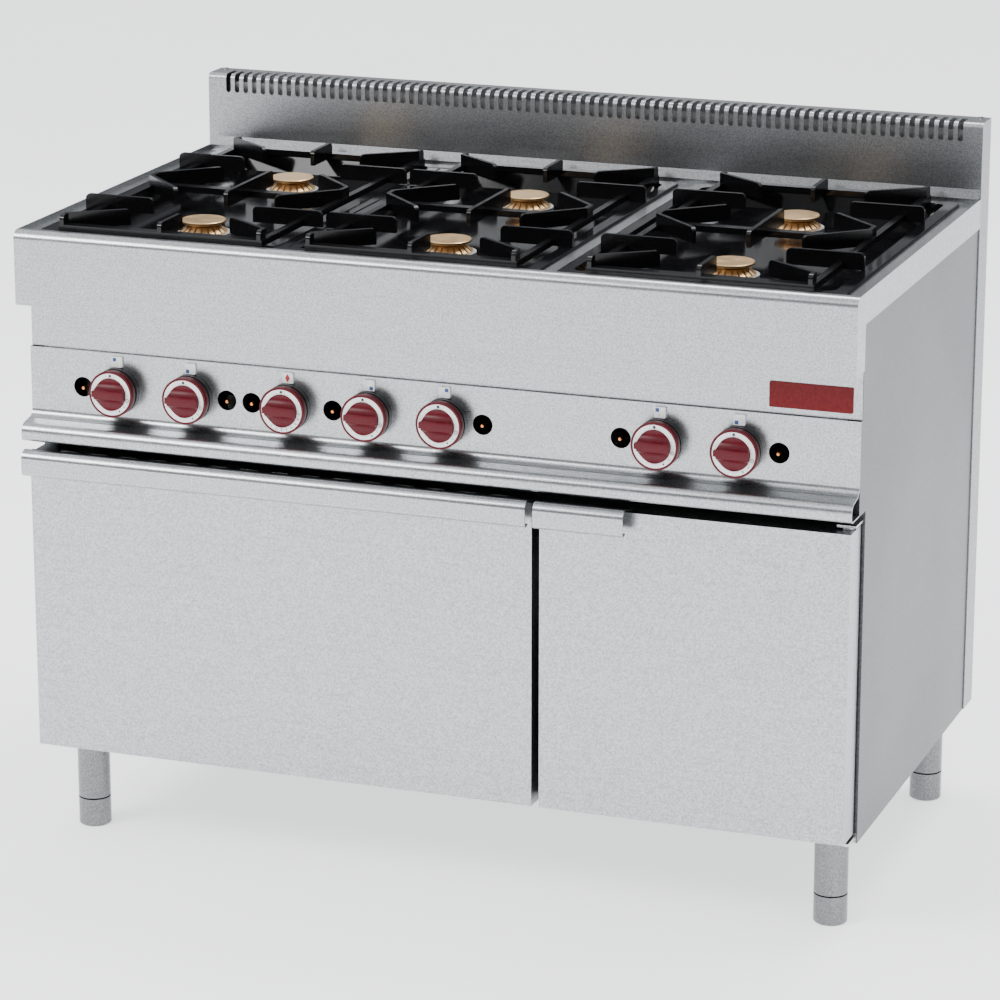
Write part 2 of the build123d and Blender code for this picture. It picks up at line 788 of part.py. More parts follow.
with BuildPart() as gas_pipework:
    rail_x = left + 60
    elbow = manifold_radius + 5
    with BuildSketch(Plane.YZ.offset(rail_x)):
        with Locations((manifold_y, knob_z)):
            Circle(manifold_radius)
            Circle(manifold_radius - 2, mode=Mode.SUBTRACT)
    extrude(amount=inlet_x - rail_x)
    box_between(
        (inlet_x - elbow, inlet_x + elbow),
        (manifold_y - elbow, manifold_y + elbow),
        (knob_z - elbow, knob_z + elbow),
    )
    # supply pipe back to the threaded stub behind the rear panel
    with BuildSketch(Plane.XZ.offset(-manifold_y)):
        with Locations((inlet_x, knob_z)):
            Circle(supply_radius)
    extrude(amount=manifold_y - back + stub_length)
    with BuildSketch(Plane.XZ.offset(-back)):
        with Locations((inlet_x, knob_z)):
            Circle(inlet_radius)
    extrude(amount=stub_length)
    with BuildSketch(Plane.XZ.offset(-back)):
        with Locations((inlet_x, knob_z)):
            Circle(supply_bore)
    extrude(amount=back - manifold_y, mode=Mode.SUBTRACT)
    for feed in feeds:
        add(feed)
save(gas_pipework.part, "gas_pipework")

# ================================================================ bezels, labels, spindles, knobs
with BuildPart() as knob_bezels:
    with BuildSketch(Plane.XZ.offset(-panel_y)):
        with Locations(*[(x, knob_z) for x in knob_x]):
            Circle(knob_radius)
            Circle(knob_radius - 3, mode=Mode.SUBTRACT)
    extrude(amount=bezel_height)
    with BuildSketch(Plane.XZ.offset(-panel_y)):
        with Locations(*[(x, knob_z) for x in knob_x]):
            Circle(knob_radius - 2)
            Circle(bezel_hole, mode=Mode.SUBTRACT)
    extrude(amount=2)
save(knob_bezels.part, "knob_bezels")

with BuildPart() as tap_labels:
    with BuildSketch(Plane.XZ.offset(-panel_y)):
        with Locations(*[(x, knob_z + knob_radius + seam + label_size[1] / 2) for x in knob_x]):
            RectangleRounded(label_size[0], label_size[1], 1.0)
    extrude(amount=label_size[2])
save(tap_labels.part, "tap_labels")

knob_face_y = panel_y - knob_reach
knob_back_y = knob_face_y + knob_skirt
for index, x in enumerate(knob_x):
    with BuildPart() as spindle:
        with BuildSketch(Plane.XZ.offset(-(knob_face_y + 3))):
            with Locations((x, knob_z)):
                Circle(spindle_radius)
        extrude(amount=-(tap_y[0] + 24 - knob_face_y - 3))
    save(spindle.part, f"spindle_{index + 1}")

    with BuildPart() as knob:
        with BuildSketch(Plane.XZ.offset(-knob_face_y)):
            with Locations((x, knob_z)):
                Circle(knob_radius)
        extrude(amount=-knob_skirt)
        chamfer(knob.edges().group_by(Axis.Y)[0], 0.8)
        # hollow back round the hub
        with BuildSketch(Plane.XZ.offset(-knob_back_y)):
            with Locations((x, knob_z)):
                Circle(knob_radius - 3)
                Circle(8, mode=Mode.SUBTRACT)
        extrude(amount=knob_skirt - 3, mode=Mode.SUBTRACT)
        # dial band groove
        with BuildSketch(Plane.XZ.offset(-knob_face_y)):
            with Locations((x, knob_z)):
                Circle(dial_radius)
                Circle(boss_radius, mode=Mode.SUBTRACT)
        extrude(amount=-0.4, mode=Mode.SUBTRACT)
        # raised boss with a grip bar between two scoops
        with BuildSketch(Plane.XZ.offset(-knob_face_y)):
            with Locations((x, knob_z)):
                Circle(boss_radius)
        extrude(amount=boss_height)
        for side in (-1, 1):
            with BuildSketch(Plane.XZ.offset(-(knob_face_y - 1.5))):
                with Locations((x, knob_z + side * (grip_width / 2 + boss_radius))):
                    Rectangle(2 * boss_radius, 2 * boss_radius)
            extrude(amount=boss_height, mode=Mode.SUBTRACT)
        grip = (x - dial_radius + 1.0, x)
        box_between(
            grip,
            (knob_face_y - boss_height, knob_face_y),
            (knob_z - grip_width / 2, knob_z + grip_width / 2),
        )
        # blind bore for the spindle
        with BuildSketch(Plane.XZ.offset(-(knob_back_y + 1))):
            with Locations((x, knob_z)):
                Circle(spindle_radius + slide_gap)
        extrude(amount=knob_skirt + 1 - 3 + slide_gap, mode=Mode.SUBTRACT)
    save(knob.part, f"knob_{index + 1}")

# ================================================================ flue cowl, duct and rear panel
slot_x = [(n - (slot_count - 1) / 2) * slot_pitch for n in range(slot_count)]
with BuildPart() as flue_cowl:
    inner = width / 2 - sheet
    foot_z = rim_z + seam
    with BuildSketch(Plane.YZ.offset(-inner)):
        with BuildLine():
            Line((body_back - lip_out, foot_z), (body_back, foot_z + lip_rise))
            Line((body_back, foot_z + lip_rise), (body_back, cowl_z - cowl_radius))
            RadiusArc(
                (body_back, cowl_z - cowl_radius), (body_back + cowl_radius, cowl_z), cowl_radius
            )
            Line((body_back + cowl_radius, cowl_z), (back, cowl_z))
            Line((back, cowl_z), (back, cowl_z - 60))
            offset(amount=sheet, side=Side.LEFT)
        make_face()
    extrude(amount=2 * inner)
    # slots wrap from the front face over the bend
    front_low = cowl_z - slot_drop
    with BuildSketch(Plane.XZ.offset(-(body_back - 5))):
        with Locations(*[(x, front_low + 30) for x in slot_x]):
            Rectangle(slot_width, 60)
        with Locations(*[(x, front_low) for x in slot_x]):
            Circle(slot_width / 2)
    extrude(amount=-(slot_run + 5), mode=Mode.SUBTRACT)
    # end caps run down the back of the body to the base
    for sign in (-1, 1):
        with BuildSketch(Plane.YZ.offset(sign * inner)):
            with BuildLine():
                Line((body_back, leg_height), (body_back, cowl_z - cowl_radius))
                RadiusArc(
                    (body_back, cowl_z - cowl_radius),
                    (body_back + cowl_radius, cowl_z),
                    cowl_radius,
                )
                Polyline(
                    (body_back + cowl_radius, cowl_z),
                    (back, cowl_z),
                    (back, leg_height),
                    (body_back, leg_height),
                )
            make_face()
        extrude(amount=sign * sheet)
        fold_x = sorted((sign * (inner - 20), sign * inner))
        box_between(fold_x, (back - sheet, back), (leg_height, cowl_z - 59))
save(flue_cowl.part, "flue_cowl")

rear_y = back - 24.0
with BuildPart() as rear_panel:
    half_x = width / 2 - sheet - seam
    box_between((-half_x, half_x), (rear_y, rear_y + sheet), (leg_height, cowl_z - 14))
    box_between(
        (-half_x, half_x),
        (body_back + seam, rear_y + sheet),
        (leg_height, leg_height + sheet),
    )
    # louvre slots low down and the gas inlet hole
    with BuildSketch(Plane.XZ.offset(-(rear_y - 5))):
        with Locations((0, 220)):
            with GridLocations(70, 22, 12, 4):
                Rectangle(48, 6)
        with Locations((inlet_x, knob_z)):
            Circle(inlet_hole)
    extrude(amount=-20, mode=Mode.SUBTRACT)
save(rear_panel.part, "rear_panel")

duct_x = (oven_centre_x - 130, oven_centre_x + 130)
duct_y = (body_back + 4, rear_y - 1)
duct_z = (outlet_z[0] - 10, cowl_z - 45)
with BuildPart() as flue_duct:
    box_between(duct_x, duct_y, duct_z)
    # collar forward to the oven's back wall
    box_between(
        (outlet_x[0] - thin_sheet, outlet_x[1] + thin_sheet),
        (oven_y[1] + oven_wall + seam, duct_y[0] + thin_sheet),
        (outlet_z[0] - thin_sheet, outlet_z[1] + thin_sheet),
    )
    box_between(
        (duct_x[0] + thin_sheet, duct_x[1] - thin_sheet),
        (duct_y[0] + thin_sheet, duct_y[1] - thin_sheet),
        (duct_z[0] + thin_sheet, duct_z[1] + 1),
        mode=Mode.SUBTRACT,
    )
    box_between(outlet_x, (oven_y[1], duct_y[0] + 2 * thin_sheet), outlet_z, mode=Mode.SUBTRACT)
save(flue_duct.part, "flue_duct")

# ================================================================ oven
with BuildPart() as oven_liner:
    wall = oven_wall
    box_between(
        (oven_x[0] - wall, oven_x[1] + wall),
        (oven_y[0], oven_y[1] + wall),
        (oven_z[0] - wall, oven_z[1] + wall),
    )
    flange_x = (oven_x[0] - oven_flange, oven_x[1] + oven_flange)
    box_between(
        flange_x,
        (body_front, body_front + wall),
        (oven_z[0] - oven_flange, oven_z[1] + oven_flange),
    )
    box_between(oven_x, (oven_y[0] - 1, oven_y[1]), oven_z, mode=Mode.SUBTRACT)
    # pressed ledges that carry the rack
    for side, x in ((1, oven_x[0]), (-1, oven_x[1])):
        for level in (rack_z - 72, rack_z, rack_z + 72):
            ledge = sorted((x, x + side * 9.0))
            box_between(
                ledge,
                (oven_y[0] + 20, oven_y[1] - 6),
                (level - rack_wire - 4, level - rack_wire - seam),
            )
    # flue outlet at the back and feed hole in the floor
    box_between(outlet_x, (oven_y[1] - 1, oven_y[1] + wall + 1), outlet_z, mode=Mode.SUBTRACT)
    with BuildSketch(Plane.XY.offset(oven_z[0] - 5)):
        with Locations(oven_feed_at):
            Circle(feed_radius + 3)
    extrude(amount=10, mode=Mode.SUBTRACT)
save(oven_liner.part, "oven_liner")

floor_y = (oven_y[0] + 8, oven_y[1] - 6)
with BuildPart() as oven_floor_plate:
    floor_x = (oven_x[0] + 12, oven_x[1] - 12)
    box_between(floor_x, floor_y, (oven_z[0] + 26, oven_z[0] + 28))
    for y in floor_y:
        edge = (y, y + 2) if y == floor_y[0] else (y - 2, y)
        box_between(floor_x, edge, (oven_z[0] + 0.2, oven_z[0] + 28))
    with BuildSketch(Plane.XY.offset(oven_z[0] + 20)):
        with Locations(((oven_x[0] + oven_x[1]) / 2, (floor_y[0] + floor_y[1]) / 2)):
            with GridLocations(480, 60, 2, 6):
                Rectangle(34, 8)
    extrude(amount=20, mode=Mode.SUBTRACT)
save(oven_floor_plate.part, "oven_floor_plate")

with BuildPart() as oven_burner:
    for x in (oven_centre_x - oven_bar_x, oven_centre_x + oven_bar_x):
        with BuildSketch(Plane.XZ.offset(-(oven_y[0] + 40))):
            with Locations((x, oven_bar_z)):
                Circle(oven_bar)
        extrude(amount=-(oven_depth - 90))
    with BuildSketch(Plane.YZ.offset(oven_centre_x - oven_bar_x)):
        with Locations((oven_y[1] - 60, oven_bar_z)):
            Circle(oven_bar)
    extrude(amount=2 * oven_bar_x)
    add(oven_feed(knob_x[2]))
save(oven_burner.part, "oven_burner")

rack_x = (oven_x[0] + rack_play, oven_x[1] - rack_play)
rack_y = (oven_y[0] + 10, oven_y[1] - 20)
with BuildPart() as oven_rack:
    for x in (rack_x[0] + rack_wire, rack_x[1] - rack_wire):
        with BuildSketch(Plane.XZ.offset(-rack_y[0])):
            with Locations((x, rack_z)):
                RegularPolygon(rack_wire, 8)
        extrude(amount=-(rack_y[1] - rack_y[0]))
    for y in (rack_y[0] + rack_wire, rack_y[1] - rack_wire):
        with BuildSketch(Plane.YZ.offset(rack_x[0] + rack_wire)):
            with Locations((y, rack_z)):
                RegularPolygon(rack_wire, 8)
        extrude(amount=rack_x[1] - rack_x[0] - 2 * rack_wire)
    pitch = (rack_x[1] - rack_x[0]) / (rack_wires + 1)
    for n in range(rack_wires):
        with BuildSketch(Plane.XZ.offset(-(rack_y[0] + rack_wire))):
            with Locations((rack_x[0] + (n + 1) * pitch, rack_z)):
                RegularPolygon(rack_wire * 0.75, 6)
        extrude(amount=-(rack_y[1] - rack_y[0] - 2 * rack_wire))
save(oven_rack.part, "oven_rack")

# ================================================================ cupboard liner
cupboard_x = (left + door_split + cupboard_wall, body_x - side_fold - 2 * seam)
cupboard_y = (body_front, body_back - 40)
cupboard_z = (leg_height + base_rise + 3, door_top - 4)
with BuildPart() as cupboard_liner:
    box_between(cupboard_x, cupboard_y, cupboard_z)
    box_between(
        (cupboard_x[0] + thin_sheet, cupboard_x[1] - thin_sheet),
        (cupboard_y[0] - 1, cupboard_y[1] - thin_sheet),
        (cupboard_z[0] + thin_sheet, cupboard_z[1] - thin_sheet),
        mode=Mode.SUBTRACT,
    )
save(cupboard_liner.part, "cupboard_liner")


# ================================================================ doors
def hinge_cuts(door_x):
    """Notches for the oven hinge plates and bores for their pins."""
    for side, edge in ((1, door_x[0]), (-1, door_x[1])):
        notch = (edge + side * (hinge_inset - 1), edge + side * (hinge_inset + hinge_plate + 1))
        box_between(
            sorted(notch),
            (hinge_y - hinge_lug - 1, door_back + 1),
            (door_bottom - 1, hinge_z + hinge_lug + 1.5),
            mode=Mode.SUBTRACT,
        )
        with Locations(Location((edge, hinge_y, hinge_z), (0, 90, 0))):
            Cylinder(pin_radius + slide_gap, 2 * hinge_inset - 2, mode=Mode.SUBTRACT)


def door_skin(door_x):
    """Folded outer skin: face, two sides, bottom and top flange."""
    with BuildPart() as skin:
        box_between(door_x, (door_y, door_back), (door_bottom, door_top))
        box_between(
            (door_x[0] + sheet, door_x[1] - sheet),
            (door_y + sheet, door_back + 1),
            (door_bottom + sheet, door_top - sheet),
            mode=Mode.SUBTRACT,
        )
    return skin.part


def door_inner(door_x):
    """Inner tray that closes the door."""
    inset = sheet + seam
    outer_x = (door_x[0] + inset, door_x[1] - inset)
    outer_z = (door_bottom + inset, door_top - inset)
    with BuildPart() as tray:
        box_between(outer_x, (door_back - tray_depth, door_back), outer_z)
        box_between(
            (outer_x[0] + thin_sheet, outer_x[1] - thin_sheet),
            (door_back - tray_depth - 1, door_back - thin_sheet),
            (outer_z[0] + thin_sheet, outer_z[1] - thin_sheet),
            mode=Mode.SUBTRACT,
        )
    return tray.part


def handle(handle_x):
    """Rolled pull: leaves the door's top edge, rounds the nose and curls under."""
    nose_y = front - handle_reach
    top = door_top + 0.75 * handle_nose
    low = top - handle_height
    seat_z = door_top + handle_sheet
    with BuildPart() as pull:
        with BuildSketch(Plane.YZ.offset(handle_x[0])):
            with BuildLine():
                Line((door_y + 8, seat_z), (door_y + 3, seat_z))
                Line((door_y + 3, seat_z), (nose_y + handle_nose + 2, top))
                RadiusArc(
                    (nose_y + handle_nose + 2, top), (nose_y, top - handle_nose), -handle_nose - 1
                )
                Line((nose_y, top - handle_nose), (nose_y, low + 4))
                RadiusArc((nose_y, low + 4), (nose_y + 4, low), -4)
                Line((nose_y + 4, low), (nose_y + 10, low + 2))
                offset(amount=handle_sheet, side=Side.LEFT)
            make_face()
        extrude(amount=handle_x[1] - handle_x[0])
    return pull.part


with BuildPart() as oven_door_skin:
    add(door_skin(oven_door_x))
    # vent slots in the top flange
    with BuildSketch(Plane.XY.offset(door_top - 2 * sheet)):
        first_slot = (oven_door_x[0] + oven_door_x[1]) / 2 - (door_slot_count // 2) * door_slot_pitch
        with Locations(*[
            (first_slot + n * door_slot_pitch, door_y + 12) for n in range(door_slot_count)
        ]):
            SlotOverall(*door_slot)
    extrude(amount=3 * sheet, mode=Mode.SUBTRACT)
    hinge_cuts(oven_door_x)
save(oven_door_skin.part, "oven_door_skin")

with BuildPart() as oven_door_inner:
    add(door_inner(oven_door_x))
    hinge_cuts(oven_door_x)
save(oven_door_inner.part, "oven_door_inner")
save(handle(oven_door_x), "oven_door_handle")

with BuildPart() as oven_door_seal:
    seal_x = (oven_x[0] - 2 * seal_width, oven_x[1] + 2 * seal_width)
    seal_z = (oven_z[0] - 2 * seal_width, oven_z[1] + 2 * seal_width)
    box_between(seal_x, (door_back, body_front - seal_gap), seal_z)
    box_between(
        (seal_x[0] + seal_width, seal_x[1] - seal_width),
        (door_back - 1, body_front),
        (seal_z[0] + seal_width, seal_z[1] - seal_width),
        mode=Mode.SUBTRACT,
    )
save(oven_door_seal.part, "oven_door_seal")

with BuildPart() as cupboard_door_skin:
    add(door_skin(cupboard_door_x))
    for z in (door_bottom, door_top):
        with Locations((side_hinge_x, side_hinge_y, z)):
            Cylinder(pin_radius + slide_gap, 6 * sheet, mode=Mode.SUBTRACT)
save(cupboard_door_skin.part, "cupboard_door_skin")

with BuildPart() as cupboard_door_inner:
    add(door_inner(cupboard_door_x))
    # clearance in the tray's top and bottom for the hinge pins
    for z in (door_bottom, door_top):
        with Locations((side_hinge_x, side_hinge_y, z)):
            Cylinder(pin_radius + moving_gap, 12 * sheet, mode=Mode.SUBTRACT)
save(cupboard_door_inner.part, "cupboard_door_inner")
cupboard_handle_x = (cupboard_door_x[0], cupboard_door_x[0] + cupboard_handle_length)
save(handle(cupboard_handle_x), "cupboard_door_handle")

# ================================================================ hinge brackets and pins
with BuildPart() as door_hinges:
    for side, edge in ((1, oven_door_x[0]), (-1, oven_door_x[1])):
        plate = sorted((edge + side * hinge_inset, edge + side * (hinge_inset + hinge_plate)))
        arm = body_front - hinge_y
        with BuildSketch(Plane.YZ.offset(plate[0])):
            with Locations((hinge_y, hinge_z)):
                Circle(hinge_lug)
            with Locations((hinge_y + arm / 2, hinge_z)):
                Rectangle(arm, 2 * hinge_lug)
            foot_y = (door_back + 1.5, body_front)
            foot_low = leg_height + seam
            with Locations(((foot_y[0] + foot_y[1]) / 2, (foot_low + hinge_z) / 2)):
                Rectangle(foot_y[1] - foot_y[0], hinge_z - foot_low)
        extrude(amount=hinge_plate)
        pin_x = sorted((edge, edge + side * (hinge_inset + hinge_plate)))
        with BuildSketch(Plane.YZ.offset(pin_x[0])):
            with Locations((hinge_y, hinge_z)):
                Circle(pin_radius)
        extrude(amount=pin_x[1] - pin_x[0])
    # upper and lower side hinge: plate, washer and pin
    plate_x = (side_hinge_x - 1.5 * washer_radius, side_hinge_x + 1.5 * washer_radius)
    plate_y = (side_hinge_y - washer_radius, body_front)
    low_z = leg_height + base_rise - 2 * side_hinge_plate
    high_z = door_top + 3.0
    box_between(plate_x, plate_y, (low_z, low_z + side_hinge_plate))
    box_between(plate_x, plate_y, (high_z, high_z + side_hinge_plate))
    reach = 4 * sheet
    for radius, z in (
        (washer_radius, (low_z, door_bottom - seam)),
        (pin_radius, (low_z, door_bottom + reach)),
        (washer_radius, (door_top + seam, high_z)),
        (pin_radius, (door_top - reach, high_z)),
    ):
        with BuildSketch(Plane.XY.offset(z[0])):
            with Locations((side_hinge_x, side_hinge_y)):
                Circle(radius)
        extrude(amount=z[1] - z[0])
save(door_hinges.part, "door_hinges")

# ================================================================ fasteners
with BuildPart() as fasteners:
    with BuildSketch(Plane.XZ.offset(-body_front)):
        with Locations(*[(x, leg_height + base_rise / 2) for x in base_bolt_x]):
            RegularPolygon(bolt_radius, 6)
    extrude(amount=bolt_height)
    # rear panel screws
    with BuildSketch(Plane.XZ.offset(-(rear_y + sheet))):
        with GridLocations(width - 60, (cowl_z - leg_height) * 0.4, 2, 3):
            with Locations((0, (cowl_z + leg_height) / 2)):
                Circle(screw_radius)
    extrude(amount=-screw_height)
    # two screws in the cowl's top, behind the outermost slots
    with BuildSketch(Plane.XY.offset(cowl_z)):
        with Locations(*[(sign * (width / 2 - 11), back - 9) for sign in (-1, 1)]):
            Circle(screw_radius)
    extrude(amount=screw_height)
save(fasteners.part, "fasteners")
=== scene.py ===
"""Looks of a free-standing six-burner gas range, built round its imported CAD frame."""

import json
import logging
import math
from dataclasses import dataclass
from enum import Enum
from typing import Callable, Iterable, Sequence

import bpy
from mathutils import Matrix, Vector


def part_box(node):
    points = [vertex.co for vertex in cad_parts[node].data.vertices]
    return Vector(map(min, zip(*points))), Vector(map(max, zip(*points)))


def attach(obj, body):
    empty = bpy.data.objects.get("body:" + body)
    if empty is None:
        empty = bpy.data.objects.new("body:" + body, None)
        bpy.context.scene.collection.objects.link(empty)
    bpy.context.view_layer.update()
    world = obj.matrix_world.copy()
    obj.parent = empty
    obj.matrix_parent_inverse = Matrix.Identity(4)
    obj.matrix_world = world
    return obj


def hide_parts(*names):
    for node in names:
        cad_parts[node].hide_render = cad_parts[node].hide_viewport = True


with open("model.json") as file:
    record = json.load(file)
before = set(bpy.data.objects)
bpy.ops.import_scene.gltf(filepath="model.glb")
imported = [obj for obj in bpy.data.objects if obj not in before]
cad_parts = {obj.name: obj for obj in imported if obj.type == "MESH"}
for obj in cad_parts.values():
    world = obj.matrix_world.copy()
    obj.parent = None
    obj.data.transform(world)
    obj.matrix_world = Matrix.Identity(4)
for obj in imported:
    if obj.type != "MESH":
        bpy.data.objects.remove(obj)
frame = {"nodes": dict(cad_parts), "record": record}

log = logging.getLogger("range")
MM = 0.001
ROUND = 96
Triple = tuple[float, float, float]


# ------------------------------------------------------------------ shader helpers
class Graph:
    """A node tree with short ways to add and join nodes."""

    def __init__(self, tree: bpy.types.NodeTree) -> None:
        """Keeps the tree that nodes are added to."""
        self.tree = tree

    def add(self, kind: str, settings: dict | None = None, **values: object) -> bpy.types.Node:
        """Adds one node.

        Args:
            kind: Node type without the ShaderNode prefix.
            settings: Attributes of the node, such as its operation.
            **values: Inputs by name, with underscores for spaces. A socket is linked.

        Returns:
            The new node.
        """
        node = self.tree.nodes.new("ShaderNode" + kind)
        for key, value in (settings or {}).items():
            setattr(node, key, value)
        for key, value in values.items():
            name = key.replace("_", " ")
            socket = node.inputs[int(key[2:])] if key.startswith("at") else node.inputs[name]
            self.feed(socket, value)
        return node

    def feed(self, socket: bpy.types.NodeSocket, value: object) -> None:
        """Links a socket to another, or sets its value."""
        if isinstance(value, bpy.types.NodeSocket):
            self.tree.links.new(value, socket)
        else:
            socket.default_value = value

    def math(self, operation: str, a: object, b: object) -> bpy.types.NodeSocket:
        """Joins two values with a math node.

        Args:
            operation: The node's operation.
            a: First value.
            b: Second value.

        Returns:
            The result.
        """
        return self.add("Math", {"operation": operation}, at0=a, at1=b).outputs[0]

    def spread(
        self, value: object, low: float, high: float, to: tuple[float, float]
    ) -> bpy.types.NodeSocket:
        """Maps a range of a value onto another, clamped.

        Args:
            value: The socket or number to map.
            low: Value that maps to the first of to.
            high: Value that maps to the second of to.
            to: The new range.

        Returns:
            The mapped value.
        """
        node = self.add("MapRange", None, Value=value)
        node.inputs["From Min"].default_value = low
        node.inputs["From Max"].default_value = high
        node.inputs["To Min"].default_value = to[0]
        node.inputs["To Max"].default_value = to[1]
        return node.outputs["Result"]

    def noise(
        self, vector: object, scale: float, detail: float = 3.0, rough: float = 0.55
    ) -> bpy.types.NodeSocket:
        """Fractal noise.

        Args:
            vector: Where it is looked up.
            scale: Cells per metre.
            detail: Octaves.
            rough: Weight of each finer octave.

        Returns:
            A value from 0 to 1.
        """
        return self.add(
            "TexNoise", None, Vector=vector, Scale=scale, Detail=detail, Roughness=rough
        ).outputs[0]

    def blend(self, amount: object, a: object, b: object) -> bpy.types.NodeSocket:
        """Mixes two colours.

        Args:
            amount: Share of the second colour.
            a: First colour.
            b: Second colour.

        Returns:
            The mixed colour.
        """
        node = self.add("Mix", {"data_type": "RGBA", "blend_type": "MIX"})
        self.feed(node.inputs[0], amount)
        self.feed(node.inputs[6], a)
        self.feed(node.inputs[7], b)
        return node.outputs[2]


def make_group(
    name: str, inputs: dict[str, str], outputs: Sequence[str]
) -> tuple[bpy.types.NodeTree, Graph]:
    """Starts a shader node group.

    Args:
        name: Name of the group.
        inputs: Socket type by input name.
        outputs: Names of the value outputs.

    Returns:
        The group and a Graph on it.
    """
    tree = bpy.data.node_groups.new(name, "ShaderNodeTree")
    for key, kind in inputs.items():
        tree.interface.new_socket(key, in_out="INPUT", socket_type="NodeSocket" + kind)
    for key in outputs:
        tree.interface.new_socket(key, in_out="OUTPUT", socket_type="NodeSocketFloat")
    return tree, Graph(tree)


def brushed_grain() -> None:
    """Makes the group with long brushing lines, a fine speckle and wiped smudges."""
    _, g = make_group(
        "brushed_grain", {"Vector": "Vector", "Stretch": "Vector", "Scale": "Float"},
        ("Lines", "Speckle", "Smudge"),
    )
    source = g.tree.nodes.new("NodeGroupInput").outputs
    sink = g.tree.nodes.new("NodeGroupOutput").inputs
    scaled = g.add(
        "VectorMath", {"operation": "MULTIPLY"}, at0=source["Vector"], at1=source["Stretch"]
    )
    lines = g.add("TexNoise", None, Vector=scaled.outputs[0], Scale=source["Scale"], Detail=5.0)
    g.feed(sink["Lines"], lines.outputs[0])
    g.feed(sink["Speckle"], g.noise(source["Vector"], 470.0, 2.0, 0.8))
    wide = g.noise(source["Vector"], 3.2, 4.0, 0.6)
    wiped = g.noise(scaled.outputs[0], 1.1, 3.0, 0.5)
    g.feed(sink["Smudge"], g.math("MULTIPLY", g.math("ADD", wide, wiped), 0.5))


def kitchen_dust() -> None:
    """Makes the group with sparse dust specks and faint dried marks."""
    _, g = make_group("kitchen_dust", {"Vector": "Vector"}, ("Specks", "Marks"))
    source = g.tree.nodes.new("NodeGroupInput").outputs
    sink = g.tree.nodes.new("NodeGroupOutput").inputs
    cells = g.add("TexVoronoi", {"feature": "F1"}, Vector=source["Vector"], Scale=240.0)
    near = g.spread(cells.outputs["Distance"], 0.05, 0.12, (1.0, 0.0))
    sparse = g.spread(g.noise(source["Vector"], 60.0), 0.6, 0.66, (0.0, 1.0))
    g.feed(sink["Specks"], g.math("MULTIPLY", near, sparse))
    dried = g.noise(source["Vector"], 11.0, 5.0, 0.65)
    g.feed(sink["Marks"], g.spread(dried, 0.5, 0.75, (0.0, 1.0)))


class Grain(Enum):
    """Which way a sheet was brushed: the stretch of the noise along X, Y and Z."""

    ALONG_X = (0.02, 1.0, 1.0)
    ALONG_Y = (1.0, 0.02, 1.0)
    ALONG_Z = (1.0, 1.0, 0.02)
    EVEN = (1.0, 1.0, 1.0)


def start_material(
    name: str, metallic: float, specular: float = 0.5
) -> tuple[bpy.types.Material, Graph, bpy.types.Node]:
    """Starts a material with a Principled shader.

    Args:
        name: Name of the material.
        metallic: 1 for bare metal.
        specular: Strength of the plain reflection.

    Returns:
        The material, a Graph on it and the shader node.
    """
    material = bpy.data.materials.new(name)
    material.use_nodes = True
    material.node_tree.nodes.clear()
    g = Graph(material.node_tree)
    shader = g.add("BsdfPrincipled", None, Metallic=metallic)
    shader.inputs["Specular IOR Level"].default_value = specular
    sink = g.add("OutputMaterial")
    g.feed(sink.inputs["Surface"], shader.outputs[0])
    return material, g, shader


def bump(
    g: Graph, shader: bpy.types.Node, height: object, distance: float, strength: float
) -> None:
    """Feeds a height into the shader's normal through a Bump node.

    Args:
        g: Graph of the material.
        shader: Its shader node.
        height: The height value.
        distance: Depth of the relief in metres.
        strength: Share of the relief that shows.
    """
    node = g.add("Bump", None, Height=height, Distance=distance, Strength=strength)
    g.feed(shader.inputs["Normal"], node.outputs[0])


@dataclass(frozen=True)
class BrushedSteel:
    """Stainless sheet with directional grain, speckle and wiped smudges."""

    name: str
    tone: Triple
    grain: Grain
    roughness: float = 0.34
    lines: float = 0.14
    speckle: float = 0.5
    shade: float = 0.26
    line_scale: float = 420.0
    line_share: float = 0.12
    relief: float = 0.12 * MM

    def build(self) -> bpy.types.Material:
        """Builds the material."""
        material, g, shader = start_material(self.name, 1.0)
        place = g.add("TexCoord").outputs["Object"]
        grain = g.add("Group", {"node_tree": bpy.data.node_groups["brushed_grain"]})
        g.feed(grain.inputs["Vector"], place)
        grain.inputs["Stretch"].default_value = self.grain.value
        grain.inputs["Scale"].default_value = self.line_scale
        lines, speckle, smudge = (grain.outputs[key] for key in ("Lines", "Speckle", "Smudge"))
        dark = tuple(v * (1.0 - self.shade) for v in self.tone) + (1.0,)
        light = tuple(min(1.0, v * (1.0 + self.shade)) for v in self.tone) + (1.0,)
        share = self.line_share
        mixed = g.math(
            "ADD", g.math("MULTIPLY", speckle, 1.0 - share), g.math("MULTIPLY", lines, share)
        )
        base = g.blend(g.spread(mixed, 0.38, 0.62, (0.0, 1.0)), dark, light)
        wiped = g.spread(smudge, 0.35, 0.65, (0.94, 1.03))
        shaded = g.add("VectorMath", {"operation": "SCALE"}, at0=base)
        g.feed(shaded.inputs["Scale"], wiped)
        g.feed(shader.inputs["Base Color"], shaded.outputs[0])
        rough = g.math("ADD", g.spread(smudge, 0.3, 0.7, (-0.05, 0.06)), self.roughness)
        rough = g.math("ADD", rough, g.spread(lines, 0.3, 0.7, (-0.012, 0.012)))
        g.feed(shader.inputs["Roughness"], rough)
        height = g.math(
            "ADD", g.math("MULTIPLY", lines, self.lines), g.math("MULTIPLY", speckle, self.speckle)
        )
        bump(g, shader, height, self.relief, 0.32)
        return material


